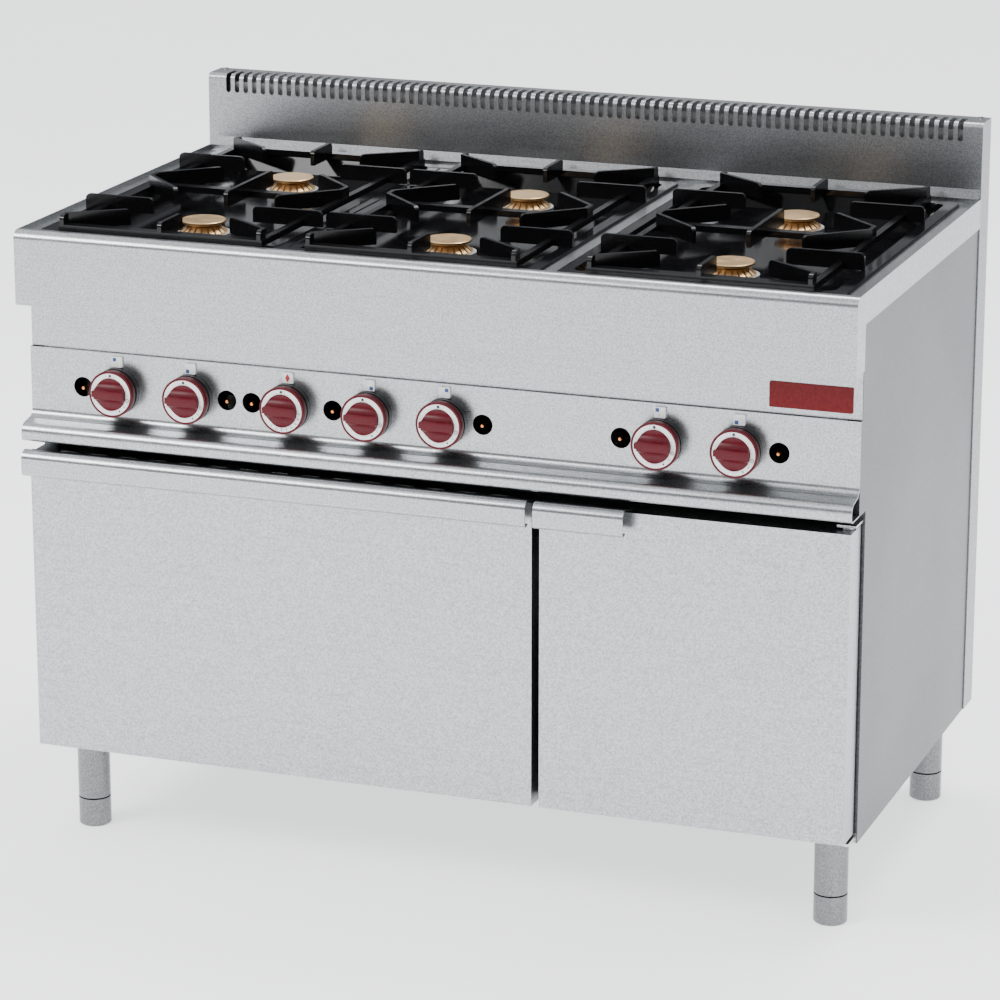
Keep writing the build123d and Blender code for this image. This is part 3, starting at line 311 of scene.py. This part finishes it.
@dataclass(frozen=True)
class Coating:
    """A painted, enamelled or moulded surface with a fine texture and light dust."""

    name: str
    tone: Triple
    roughness: float
    texture_scale: float
    texture_depth: float
    dust: float = 0.1
    metallic: float = 0.0
    specular: float = 0.5

    def build(self) -> bpy.types.Material:
        """Builds the material."""
        material, g, shader = start_material(self.name, self.metallic, self.specular)
        place = g.add("TexCoord").outputs["Object"]
        dust = g.add("Group", {"node_tree": bpy.data.node_groups["kitchen_dust"]}, Vector=place)
        fine = g.noise(place, self.texture_scale, 3.0, 0.5)
        dark = tuple(v * 0.88 for v in self.tone) + (1.0,)
        light = tuple(min(1.0, v * 1.1 + 0.003) for v in self.tone) + (1.0,)
        base = g.blend(g.spread(fine, 0.35, 0.65, (0.0, 1.0)), dark, light)
        worn = g.math("MULTIPLY", dust.outputs["Specks"], self.dust)
        base = g.blend(worn, base, (0.45, 0.44, 0.42, 1.0))
        g.feed(shader.inputs["Base Color"], base)
        rough = g.math("ADD", g.math("MULTIPLY", dust.outputs["Marks"], self.dust), self.roughness)
        g.feed(shader.inputs["Roughness"], rough)
        bump(g, shader, fine, self.texture_depth, 0.5)
        return material


@dataclass(frozen=True)
class Brass:
    """Machined brass, faintly browned where the flame reaches."""

    name: str
    tone: Triple
    roughness: float
    relief: float = 0.15 * MM

    def build(self) -> bpy.types.Material:
        """Builds the material."""
        material, g, shader = start_material(self.name, 1.0)
        place = g.add("TexCoord").outputs["Object"]
        brown = g.spread(g.noise(place, 45.0, 5.0, 0.65), 0.45, 0.72, (0.0, 0.55))
        dark = tuple(v * 0.55 for v in self.tone) + (1.0,)
        base = g.blend(brown, self.tone + (1.0,), dark)
        fine = g.noise(place, 1600.0, 2.0, 0.6)
        base = g.blend(g.spread(fine, 0.4, 0.7, (0.0, 0.3)), base, (1.0, 0.86, 0.62, 1.0))
        g.feed(shader.inputs["Base Color"], base)
        rough = g.math("ADD", g.math("MULTIPLY", brown, 0.3), self.roughness)
        g.feed(shader.inputs["Roughness"], rough)
        bump(g, shader, fine, self.relief, 0.45)
        return material


# ------------------------------------------------------------------ modelling helpers
def deselect() -> None:
    """Returns to object mode and selects nothing."""
    if bpy.context.object and bpy.context.object.mode != "OBJECT":
        bpy.ops.object.mode_set(mode="OBJECT")
    bpy.ops.object.select_all(action="DESELECT")


def new_piece(name: str) -> bpy.types.Object:
    """Names the primitive just added.

    Args:
        name: Name of the object and its mesh.

    Returns:
        The object.
    """
    piece = bpy.context.object
    piece.name = name
    piece.data.name = name
    return piece


def pick_faces(piece: bpy.types.Object, wanted: Callable[[Vector, Vector], bool]) -> None:
    """In edit mode, selects some of a piece's faces.

    Args:
        piece: The piece being edited.
        wanted: Takes a face's centre and normal, and says whether it is selected.
    """
    bpy.ops.mesh.select_all(action="DESELECT")
    bpy.ops.object.mode_set(mode="OBJECT")
    for face in piece.data.polygons:
        face.select = wanted(face.center, face.normal)
    bpy.ops.object.mode_set(mode="EDIT")
    bpy.ops.mesh.select_mode(type="FACE")


def settle(piece: bpy.types.Object, angle: float = 35.0) -> None:
    """Applies the piece's place and modifiers, and smooths its round faces.

    Args:
        piece: The piece.
        angle: Edges sharper than this many degrees stay sharp.
    """
    deselect()
    piece.select_set(True)
    bpy.context.view_layer.objects.active = piece
    bpy.ops.object.transform_apply(location=True, rotation=True, scale=True)
    for modifier in list(piece.modifiers):
        bpy.ops.object.modifier_apply(modifier=modifier.name)
    bpy.ops.object.shade_smooth_by_angle(angle=math.radians(angle))
    deselect()


def soften(piece: bpy.types.Object, width: float, segments: int = 2, angle: float = 40.0) -> None:
    """Adds and applies a bevel on the piece's sharp edges.

    Args:
        piece: The piece.
        width: Width of the bevel.
        segments: Steps across it.
        angle: Edges sharper than this many degrees get it.
    """
    modifier = piece.modifiers.new("edge", "BEVEL")
    modifier.width = width
    modifier.segments = segments
    modifier.limit_method = "ANGLE"
    modifier.angle_limit = math.radians(angle)
    settle(piece)


def join(pieces: Sequence[bpy.types.Object], name: str) -> bpy.types.Object:
    """Joins pieces into one object.

    Args:
        pieces: The objects to join.
        name: Name of the result.

    Returns:
        The joined object.
    """
    deselect()
    for piece in pieces:
        piece.select_set(True)
    bpy.context.view_layer.objects.active = pieces[0]
    bpy.ops.object.join()
    pieces[0].name = name
    pieces[0].data.name = name
    deselect()
    return pieces[0]


def copy_to(source: bpy.types.Object, name: str, place: Matrix) -> bpy.types.Object:
    """Copies a piece with its own mesh.

    Args:
        source: The piece to copy.
        name: Name of the copy.
        place: Where the copy goes, applied inside its mesh.

    Returns:
        The copy.
    """
    mesh = source.data.copy()
    mesh.transform(place)
    piece = bpy.data.objects.new(name, mesh)
    mesh.name = name
    bpy.context.scene.collection.objects.link(piece)
    return piece


def paint(piece: bpy.types.Object, material: bpy.types.Material) -> None:
    """Gives a piece one material."""
    piece.data.materials.clear()
    piece.data.materials.append(material)


# ------------------------------------------------------------------ finishes
class Finishes:
    """Every material of the range, by the record's slot name and by piece."""

    def __init__(self) -> None:
        """Builds the shared groups and the materials."""
        brushed_grain()
        kitchen_dust()
        self.front = BrushedSteel(
            "steel_front", (0.41, 0.42, 0.43), Grain.ALONG_X, roughness=0.3
        ).build()
        # Painted shade: the side panels take the front's stainless steel in a much darker tone,
        # standing in for the shade on the range's flanks.
        self.side = BrushedSteel(
            "steel_side_painted_shade", (0.11, 0.114, 0.12), Grain.ALONG_Y, roughness=0.36
        ).build()
        self.upright = BrushedSteel(
            "steel_upright", (0.33, 0.337, 0.347), Grain.ALONG_X, roughness=0.38
        ).build()
        self.inner = BrushedSteel(
            "steel_inner", (0.4, 0.4, 0.4), Grain.EVEN, roughness=0.42, lines=0.2, speckle=0.2
        ).build()
        self.leg = BrushedSteel(
            "steel_leg", (0.19, 0.194, 0.2), Grain.ALONG_Z, roughness=0.24
        ).build()
        # Plated steel for the pipes; the vent burrs also use it as a lighter, painted-highlight
        # copy of the door's steel.
        self.plated = BrushedSteel(
            "plated_steel_and_lit_edge", (0.6, 0.6, 0.6), Grain.EVEN, roughness=0.25, lines=0.1, speckle=0.1
        ).build()
        self.brass = Brass("cap_brass", (0.70, 0.45, 0.21), roughness=0.32).build()
        self.copper = Brass("pilot_copper", (0.95, 0.30, 0.06), roughness=0.3).build()
        self.aluminium = Coating(
            "cast_aluminium", (0.62, 0.61, 0.6), roughness=0.42, texture_scale=700.0,
            texture_depth=0.2 * MM, dust=0.1, metallic=1.0,
        ).build()
        self.enamel = Coating(
            "pan_enamel", (0.002, 0.002, 0.0025), roughness=0.1, texture_scale=260.0,
            texture_depth=0.03 * MM, dust=0.03, specular=0.26,
        ).build()
        self.casting = Coating(
            "grate_enamel", (0.0025, 0.0025, 0.003), roughness=0.17, texture_scale=520.0,
            texture_depth=0.12 * MM, dust=0.03, specular=0.34,
        ).build()
        self.knob = Coating(
            "knob_burgundy", (0.080, 0.0002, 0.005), roughness=0.34, texture_scale=420.0,
            texture_depth=0.04 * MM, dust=0.02, specular=0.22,
        ).build()
        self.badge = Coating(
            "badge_red", (0.12, 0.0008, 0.003), roughness=0.4, texture_scale=300.0,
            texture_depth=0.02 * MM, dust=0.02, specular=0.2,
        ).build()
        # Black plastic; on the knob bezels the black collar is partly a real part and partly
        # painted shade standing in for the knobs' shadow on the panel.
        self.black = Coating(
            "black_plastic", (0.012, 0.012, 0.013), roughness=0.32, texture_scale=500.0,
            texture_depth=0.04 * MM, dust=0.05,
        ).build()
        self.white = Coating(
            "dial_white", (0.82, 0.82, 0.83), roughness=0.35, texture_scale=400.0,
            texture_depth=0.02 * MM, dust=0.03,
        ).build()
        self.seal = Coating(
            "woven_seal", (0.06, 0.06, 0.06), roughness=0.85, texture_scale=900.0,
            texture_depth=0.4 * MM, dust=0.2,
        ).build()
        self.ink = self.printed("printed_black", (0.01, 0.01, 0.012))
        self.blue = self.printed("printed_blue", (0.03, 0.07, 0.22))
        self.red = self.printed("printed_red", (0.35, 0.01, 0.01))
        self.by_slot = {
            "steel": self.front, "steel_inner": self.inner, "leg_steel": self.leg,
            "badge": self.badge, "enamel": self.enamel, "grate_iron": self.casting,
            "burner_metal": self.aluminium, "brass": self.brass, "pipe_steel": self.plated,
            "knob_red": self.knob, "black_plastic": self.black, "label_white": self.white,
            "seal_cord": self.seal,
        }
        # The side panels get the darker, painted-shade copy of the steel.
        self.by_node = {
            "left_side_panel": self.side, "right_side_panel": self.side,
            "flue_cowl": self.upright,
        }

    @staticmethod
    def printed(name: str, tone: Triple) -> bpy.types.Material:
        """A flat printed colour.

        Args:
            name: Name of the material.
            tone: Its colour.

        Returns:
            The material.
        """
        return Coating(
            name, tone, roughness=0.4, texture_scale=400.0, texture_depth=0.01 * MM, dust=0.0
        ).build()

    def dress_frame(self) -> None:
        """Gives every CAD node its finish."""
        for part in frame["record"]["subparts"]:
            node = frame["nodes"][part["node"]]
            material = self.by_node.get(part["node"], self.by_slot[part["material_slot"]])
            for index in range(max(1, len(node.data.materials))):
                if index < len(node.data.materials):
                    node.data.materials[index] = material
                else:
                    node.data.materials.append(material)


# ------------------------------------------------------------------ controls
class Zone(Enum):
    """Which burner a tap's symbol marks, as columns and rows of a small hob plan."""

    REAR_LEFT = (-1, 1)
    FRONT_LEFT = (-1, -1)
    REAR_RIGHT = (1, 1)
    FRONT_RIGHT = (1, -1)
    OVEN = (0, 0)


@dataclass
class Knob:
    """Moulded tap knob with a white dial and a pointed grip bar."""

    radius: float = 30.0 * MM
    skirt: float = 10.0 * MM
    rim: float = 3.0 * MM
    hollow: float = 6.0 * MM
    dial_outer: float = 27.4 * MM
    dial_gap: float = 0.3 * MM
    dial_height: float = 0.6 * MM
    print_height: float = 0.3 * MM
    print_level: float = 0.2 * MM
    groove: float = 0.5 * MM
    groove_wall: float = 0.2 * MM
    boss_radius: float = 21.0 * MM
    boss_height: float = 7.0 * MM
    grip_half: float = 6.0 * MM
    grip_width: float = 11.1 * MM
    grip_length: float = 24.5 * MM
    grip_taper: Triple = (1.0, 0.72, 0.82)
    scoop_radius: float = 10.5 * MM
    scoop_rise: float = 4.0 * MM
    edge: float = 0.6 * MM
    grip_edge: float = 1.3 * MM

    def model_body(self) -> bpy.types.Object:
        """Models the knob at the origin, its face towards +Z and its back at zero.

        Returns:
            The knob body.
        """
        deselect()
        bpy.ops.mesh.primitive_cylinder_add(
            vertices=ROUND, radius=self.radius, depth=self.skirt, location=(0, 0, self.skirt / 2)
        )
        body = new_piece("knob_body")
        bpy.ops.object.transform_apply(location=True)
        bpy.ops.object.mode_set(mode="EDIT")
        pick_faces(body, lambda c, n: n.z > 0.9)
        bpy.ops.mesh.inset(thickness=self.radius - self.dial_outer, depth=0)
        bpy.ops.mesh.inset(thickness=self.groove_wall, depth=-self.groove)
        floor = self.dial_outer - self.boss_radius - 2 * self.groove_wall
        bpy.ops.mesh.inset(thickness=floor, depth=0)
        bpy.ops.mesh.inset(thickness=self.groove_wall, depth=self.groove)
        up = {"value": (0, 0, self.boss_height)}
        bpy.ops.mesh.extrude_region_move(TRANSFORM_OT_translate=up)
        pick_faces(body, lambda c, n: n.z < -0.9)
        bpy.ops.mesh.inset(thickness=self.rim, depth=0)
        up = {"value": (0, 0, self.hollow)}
        bpy.ops.mesh.extrude_region_move(TRANSFORM_OT_translate=up)
        bpy.ops.object.mode_set(mode="OBJECT")
        top = self.skirt + self.boss_height
        for side in (-1, 1):
            deselect()
            bpy.ops.mesh.primitive_cylinder_add(
                vertices=64, radius=self.scoop_radius, depth=2.4 * self.boss_radius,
                location=(
                    0, side * (self.grip_half + 0.9 * self.scoop_radius), top + self.scoop_rise
                ),
                rotation=(0, math.pi / 2, 0),
            )
            cutter = new_piece("scoop_cutter")
            cut = body.modifiers.new("scoop", "BOOLEAN")
            cut.operation = "DIFFERENCE"
            cut.solver = "EXACT"
            cut.object = cutter
            deselect()
            body.select_set(True)
            bpy.context.view_layer.objects.active = body
            bpy.ops.object.modifier_apply(modifier=cut.name)
            bpy.data.objects.remove(cutter)
        soften(body, self.edge, 2, 30.0)
        return body

    def model_pointer(self) -> bpy.types.Object:
        """Models the rounded end of the grip bar that reaches over the dial.

        Returns:
            The end of the bar.
        """
        deselect()
        length = self.grip_length
        bpy.ops.mesh.primitive_cube_add(
            size=1, location=(-length / 2, 0, self.skirt + self.boss_height / 2)
        )
        pointer = new_piece("knob_pointer")
        pointer.scale = (length, self.grip_width, self.boss_height)
        bpy.ops.object.transform_apply(location=True, scale=True)
        bpy.ops.object.mode_set(mode="EDIT")
        pick_faces(pointer, lambda c, n: n.x < -0.9)
        bpy.ops.transform.resize(value=self.grip_taper, center_override=(-length, 0, self.skirt))
        bpy.ops.object.mode_set(mode="OBJECT")
        soften(pointer, self.grip_edge, 4, 30.0)
        return pointer

    def model_dial(self) -> bpy.types.Object:
        """Models the white dial ring that lies in the knob's groove.

        Returns:
            The ring.
        """
        deselect()
        bpy.ops.mesh.primitive_cylinder_add(
            vertices=ROUND, radius=self.dial_outer - self.dial_gap, depth=self.dial_height,
            location=(0, 0, self.skirt - self.print_level),
        )
        dial = new_piece("dial_ring")
        bpy.ops.object.transform_apply(location=True)
        bpy.ops.object.mode_set(mode="EDIT")
        pick_faces(dial, lambda c, n: abs(n.z) > 0.9)
        bpy.ops.mesh.inset(thickness=self.dial_outer - self.boss_radius - self.groove, depth=0)
        bpy.ops.mesh.delete(type="FACE")
        bpy.ops.mesh.select_mode(type="EDGE")
        bpy.ops.mesh.select_all(action="DESELECT")
        bpy.ops.mesh.select_non_manifold()
        bpy.ops.mesh.bridge_edge_loops()
        bpy.ops.mesh.select_all(action="SELECT")
        bpy.ops.mesh.normals_make_consistent(inside=False)
        bpy.ops.object.mode_set(mode="OBJECT")
        settle(dial)
        return dial

    def model_marks(self, oven: bool) -> bpy.types.Object:
        """Models the dial's printed marks.

        Args:
            oven: True for the thermostat's row of temperature marks.

        Returns:
            One object with every mark.
        """
        middle = (self.dial_outer + self.boss_radius) / 2
        height = self.skirt + self.print_level
        pieces = []

        def dot(angle: float, size: float) -> None:
            """Adds one round mark at a clock angle in degrees from the top."""
            turn = math.radians(angle)
            deselect()
            bpy.ops.mesh.primitive_cylinder_add(
                vertices=20, radius=size, depth=self.print_height,
                location=(middle * math.sin(turn), middle * math.cos(turn), height),
            )
            pieces.append(new_piece("mark"))

        def bar(angle: float, length: float, width: float) -> None:
            """Adds one radial mark at a clock angle in degrees from the top."""
            turn = math.radians(angle)
            deselect()
            bpy.ops.mesh.primitive_cube_add(
                size=1, location=(middle * math.sin(turn), middle * math.cos(turn), height),
                rotation=(0, 0, -turn),
            )
            piece = new_piece("mark")
            piece.scale = (width, length, self.print_height)
            pieces.append(piece)

        dot(0.0, 1.8 * MM)
        if oven:
            for step in range(8):
                bar(95.0 + 17.0 * step, 3.4 * MM, 0.8 * MM)
        else:
            deselect()
            turn = math.radians(105.0)
            bpy.ops.mesh.primitive_torus_add(
                major_radius=1.9 * MM, minor_radius=0.35 * MM, major_segments=24, minor_segments=6,
                location=(middle * math.sin(turn), middle * math.cos(turn), height),
            )
            pieces.append(new_piece("mark"))
            bar(128.0, 3.0 * MM, 0.7 * MM)
            dot(150.0, 1.1 * MM)
        marks = join(pieces, "dial_marks")
        settle(marks)
        return marks


@dataclass
class Controls:
    """The seven knobs with their dials and the symbols over them."""

    finishes: Finishes
    zones: tuple[Zone, ...] = (
        Zone.REAR_LEFT, Zone.FRONT_LEFT, Zone.OVEN, Zone.FRONT_RIGHT,
        Zone.REAR_RIGHT, Zone.REAR_LEFT, Zone.FRONT_LEFT,
    )
    mark_size: float = 4.6 * MM
    mark_step: float = 3.2 * MM
    mark_height: float = 0.3 * MM
    mark_lift: float = 0.1 * MM
    diamond_stretch: float = 1.7

    def build(self) -> None:
        """Models one knob and sets its copies on the seven spindles."""
        knob = Knob()
        body, pointer, dial = knob.model_body(), knob.model_pointer(), knob.model_dial()
        marks = {False: knob.model_marks(False), True: knob.model_marks(True)}
        body = join([body, pointer], "knob_master")
        paint(body, self.finishes.knob)
        paint(dial, self.finishes.white)
        for printed in marks.values():
            paint(printed, self.finishes.ink)
        for index, zone in enumerate(self.zones, 1):
            low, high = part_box(f"knob_{index}")
            centre = Vector(((low[0] + high[0]) / 2, high[1], (low[2] + high[2]) / 2))
            place = Matrix.Translation(centre) @ Matrix.Rotation(math.pi / 2, 4, "X")
            oven = zone is Zone.OVEN
            sources = ((body, "knob_shell"), (dial, "knob_dial"), (marks[oven], "knob_marks"))
            for source, name in sources:
                piece = copy_to(source, f"{name}_{index}", place)
                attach(piece, f"knob_{index}")
                if source is body:
                    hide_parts(f"knob_{index}")
            self.symbols(index, zone, centre.x)
        for piece in (body, dial, *marks.values()):
            bpy.data.objects.remove(piece)
        log.info("controls: 7 knobs with dials and symbols")

    def symbols(self, index: int, zone: Zone, x: float) -> None:
        """Prints the burner's square, or the oven's diamond, on one label.

        Args:
            index: Number of the tap, from the left.
            zone: Burner that the tap feeds.
            x: Middle of the label.
        """
        low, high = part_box("tap_labels")
        middle = (low[2] + high[2]) / 2
        oven = zone is Zone.OVEN
        column, row = zone.value
        deselect()
        bpy.ops.mesh.primitive_cube_add(
            size=1,
            location=(
                x + column * self.mark_step,
                low[1] - self.mark_lift,
                middle + row * self.mark_step,
            ),
        )
        piece = new_piece(f"tap_symbol_{index}")
        piece.scale = (self.mark_size, self.mark_height, self.mark_size)
        if oven:
            piece.rotation_euler = (0, math.pi / 4, 0)
            bpy.ops.object.transform_apply(location=False, rotation=True, scale=True)
            piece.scale = (1.0, 1.0, self.diamond_stretch)
        settle(piece)
        paint(piece, self.finishes.red if oven else self.finishes.blue)
        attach(piece, "range_body")


# ------------------------------------------------------------------ small fittings
@dataclass
class PilotTips:
    """Copper pilot tips that show in the panel's sight holes, in millimetres."""

    finishes: Finishes
    columns: tuple[float, ...] = (-475.0, -275.0, -241.0, -131.0, 68.5, 247.5, 448.0)
    level: float = 617.5
    depth: float = -279.0
    radius: float = 2.4
    length: float = 8.0
    aside: float = 3.6
    below: float = 3.8

    def build(self) -> None:
        """Models one rounded tip and sets its copies behind the holes."""
        deselect()
        bpy.ops.mesh.primitive_cylinder_add(
            vertices=32, radius=self.radius * MM, depth=self.length * MM
        )
        tip = new_piece("pilot_master")
        soften(tip, 1.1 * MM, 4, 60.0)
        paint(tip, self.finishes.copper)
        lie = Matrix.Rotation(math.pi / 2, 4, "X")
        for index, x in enumerate(self.columns, 1):
            middle = self.depth + self.length / 2
            at = Vector((x - self.aside, middle, self.level - self.below)) * MM
            piece = copy_to(tip, f"pilot_tip_{index}", Matrix.Translation(at) @ lie)
            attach(piece, "range_body")
        bpy.data.objects.remove(tip)
        log.info("pilot tips: %d", len(self.columns))


@dataclass
class VentBurrs:
    """Turned-up rear edges of the vent slots in the oven door's top flange, in millimetres."""

    finishes: Finishes
    first: float = -495.75
    pitch: float = 42.0
    count: int = 15
    size: Triple = (22.0, 0.7, 1.3)
    at: tuple[float, float] = (-290.4, 530.0)

    def build(self) -> None:
        """Models one turned edge and sets its copies along the door."""
        deselect()
        bpy.ops.mesh.primitive_cube_add(size=1)
        burr = new_piece("burr_master")
        burr.scale = tuple(v * MM for v in self.size)
        soften(burr, 0.2 * MM, 2)
        # Painted highlight: the turned edges take the lighter plated steel instead of the door's
        # own steel, so they read as lit dashes.
        paint(burr, self.finishes.plated)
        copies = []
        for index in range(self.count):
            x = self.first + index * self.pitch
            place = Vector((x, self.at[0], self.at[1] + self.size[2] / 2)) * MM
            copies.append(copy_to(burr, f"vent_burr_{index + 1}", Matrix.Translation(place)))
        piece = join(copies, "vent_burrs")
        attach(piece, "oven_door")
        bpy.data.objects.remove(burr)
        log.info("vent burrs: %d", self.count)


# ------------------------------------------------------------------ stage
@dataclass
class Studio:
    """Pale floor, soft lights and the camera, in metres and degrees."""

    camera_at: Triple = (1.7329, -4.7547, 1.8959)
    yaw: float = 20.17
    pitch: float = -16.08
    lens: float = 144.4
    sky: float = 1.5
    floor_glow: float = 1.1

    def build(self) -> None:
        """Sets the stage."""
        self.floor()
        self.lights()
        self.camera()
        log.info("studio: floor, lights and camera")

    def floor(self) -> None:
        """A wide pale sweep under the range."""
        deselect()
        bpy.ops.mesh.primitive_plane_add(size=40, location=(0, 0, 0))
        floor = new_piece("studio_floor")
        material, g, shader = start_material("studio_floor", 0.0, 0.2)
        place = g.add("TexCoord").outputs["Object"]
        tone = g.spread(g.noise(place, 2.0), 0.3, 0.7, (0.94, 0.97))
        g.feed(shader.inputs["Base Color"], tone)
        shader.inputs["Roughness"].default_value = 0.8
        shader.inputs["Emission Color"].default_value = (0.97, 0.985, 1.0, 1.0)
        shader.inputs["Emission Strength"].default_value = self.floor_glow
        paint(floor, material)

    def area(
        self, name: str, at: Triple, aim: Triple, size: tuple[float, float], power: float
    ) -> None:
        """Adds one rectangular soft light.

        Args:
            name: Name of the light.
            at: Where it stands.
            aim: The point that it faces.
            size: Its width and height.
            power: Its power in watts.
        """
        light = bpy.data.lights.new(name, "AREA")
        light.shape = "RECTANGLE"
        light.size, light.size_y = size
        light.energy = power
        lamp = bpy.data.objects.new(name, light)
        lamp.location = at
        lamp.rotation_euler = (Vector(aim) - Vector(at)).to_track_quat("-Z", "Y").to_euler()
        bpy.context.scene.collection.objects.link(lamp)

    def lights(self) -> None:
        """Soft boxes and a pale surround with a dim band above the horizon."""
        world = bpy.data.worlds.new("studio_air")
        bpy.context.scene.world = world
        world.use_nodes = True
        g = Graph(world.node_tree)
        back = world.node_tree.nodes["Background"]
        ray = g.add("TexCoord").outputs["Object"]
        rise = g.add("SeparateXYZ", None, Vector=ray).outputs["Z"]
        over = g.spread(rise, 0.36, 0.56, (0.0, 1.0))
        tone = g.blend(over, (0.11, 0.115, 0.125, 1.0), (0.96, 0.98, 1.0, 1.0))
        g.feed(back.inputs[0], tone)
        back.inputs[1].default_value = self.sky
        self.area("key_light", (-2.6, -3.2, 3.4), (0, 0, 0.6), (2.2, 1.6), 170)
        self.area("top_light", (0.4, 0.9, 3.4), (0, 0, 0.7), (3.0, 1.0), 90)

    def camera(self) -> None:
        """A long lens from the front right, a little above the hob."""
        yaw, pitch = math.radians(self.yaw), math.radians(self.pitch)
        ahead = math.cos(pitch)
        look = Vector((-math.sin(yaw) * ahead, math.cos(yaw) * ahead, math.sin(pitch)))
        data = bpy.data.cameras.new("camera")
        data.lens = self.lens
        data.sensor_width = 36.0
        data.clip_end = 100.0
        camera = bpy.data.objects.new("camera", data)
        camera.location = self.camera_at
        camera.rotation_euler = look.to_track_quat("-Z", "Y").to_euler()
        bpy.context.scene.collection.objects.link(camera)
        bpy.context.scene.camera = camera


def main() -> None:
    """Dresses the frame, builds the new pieces and sets the stage."""
    logging.basicConfig(level=logging.INFO)
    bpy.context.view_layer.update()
    finishes = Finishes()
    finishes.dress_frame()
    Controls(finishes).build()
    PilotTips(finishes).build()
    VentBurrs(finishes).build()
    Studio().build()


if __name__ == "__main__":
    main()
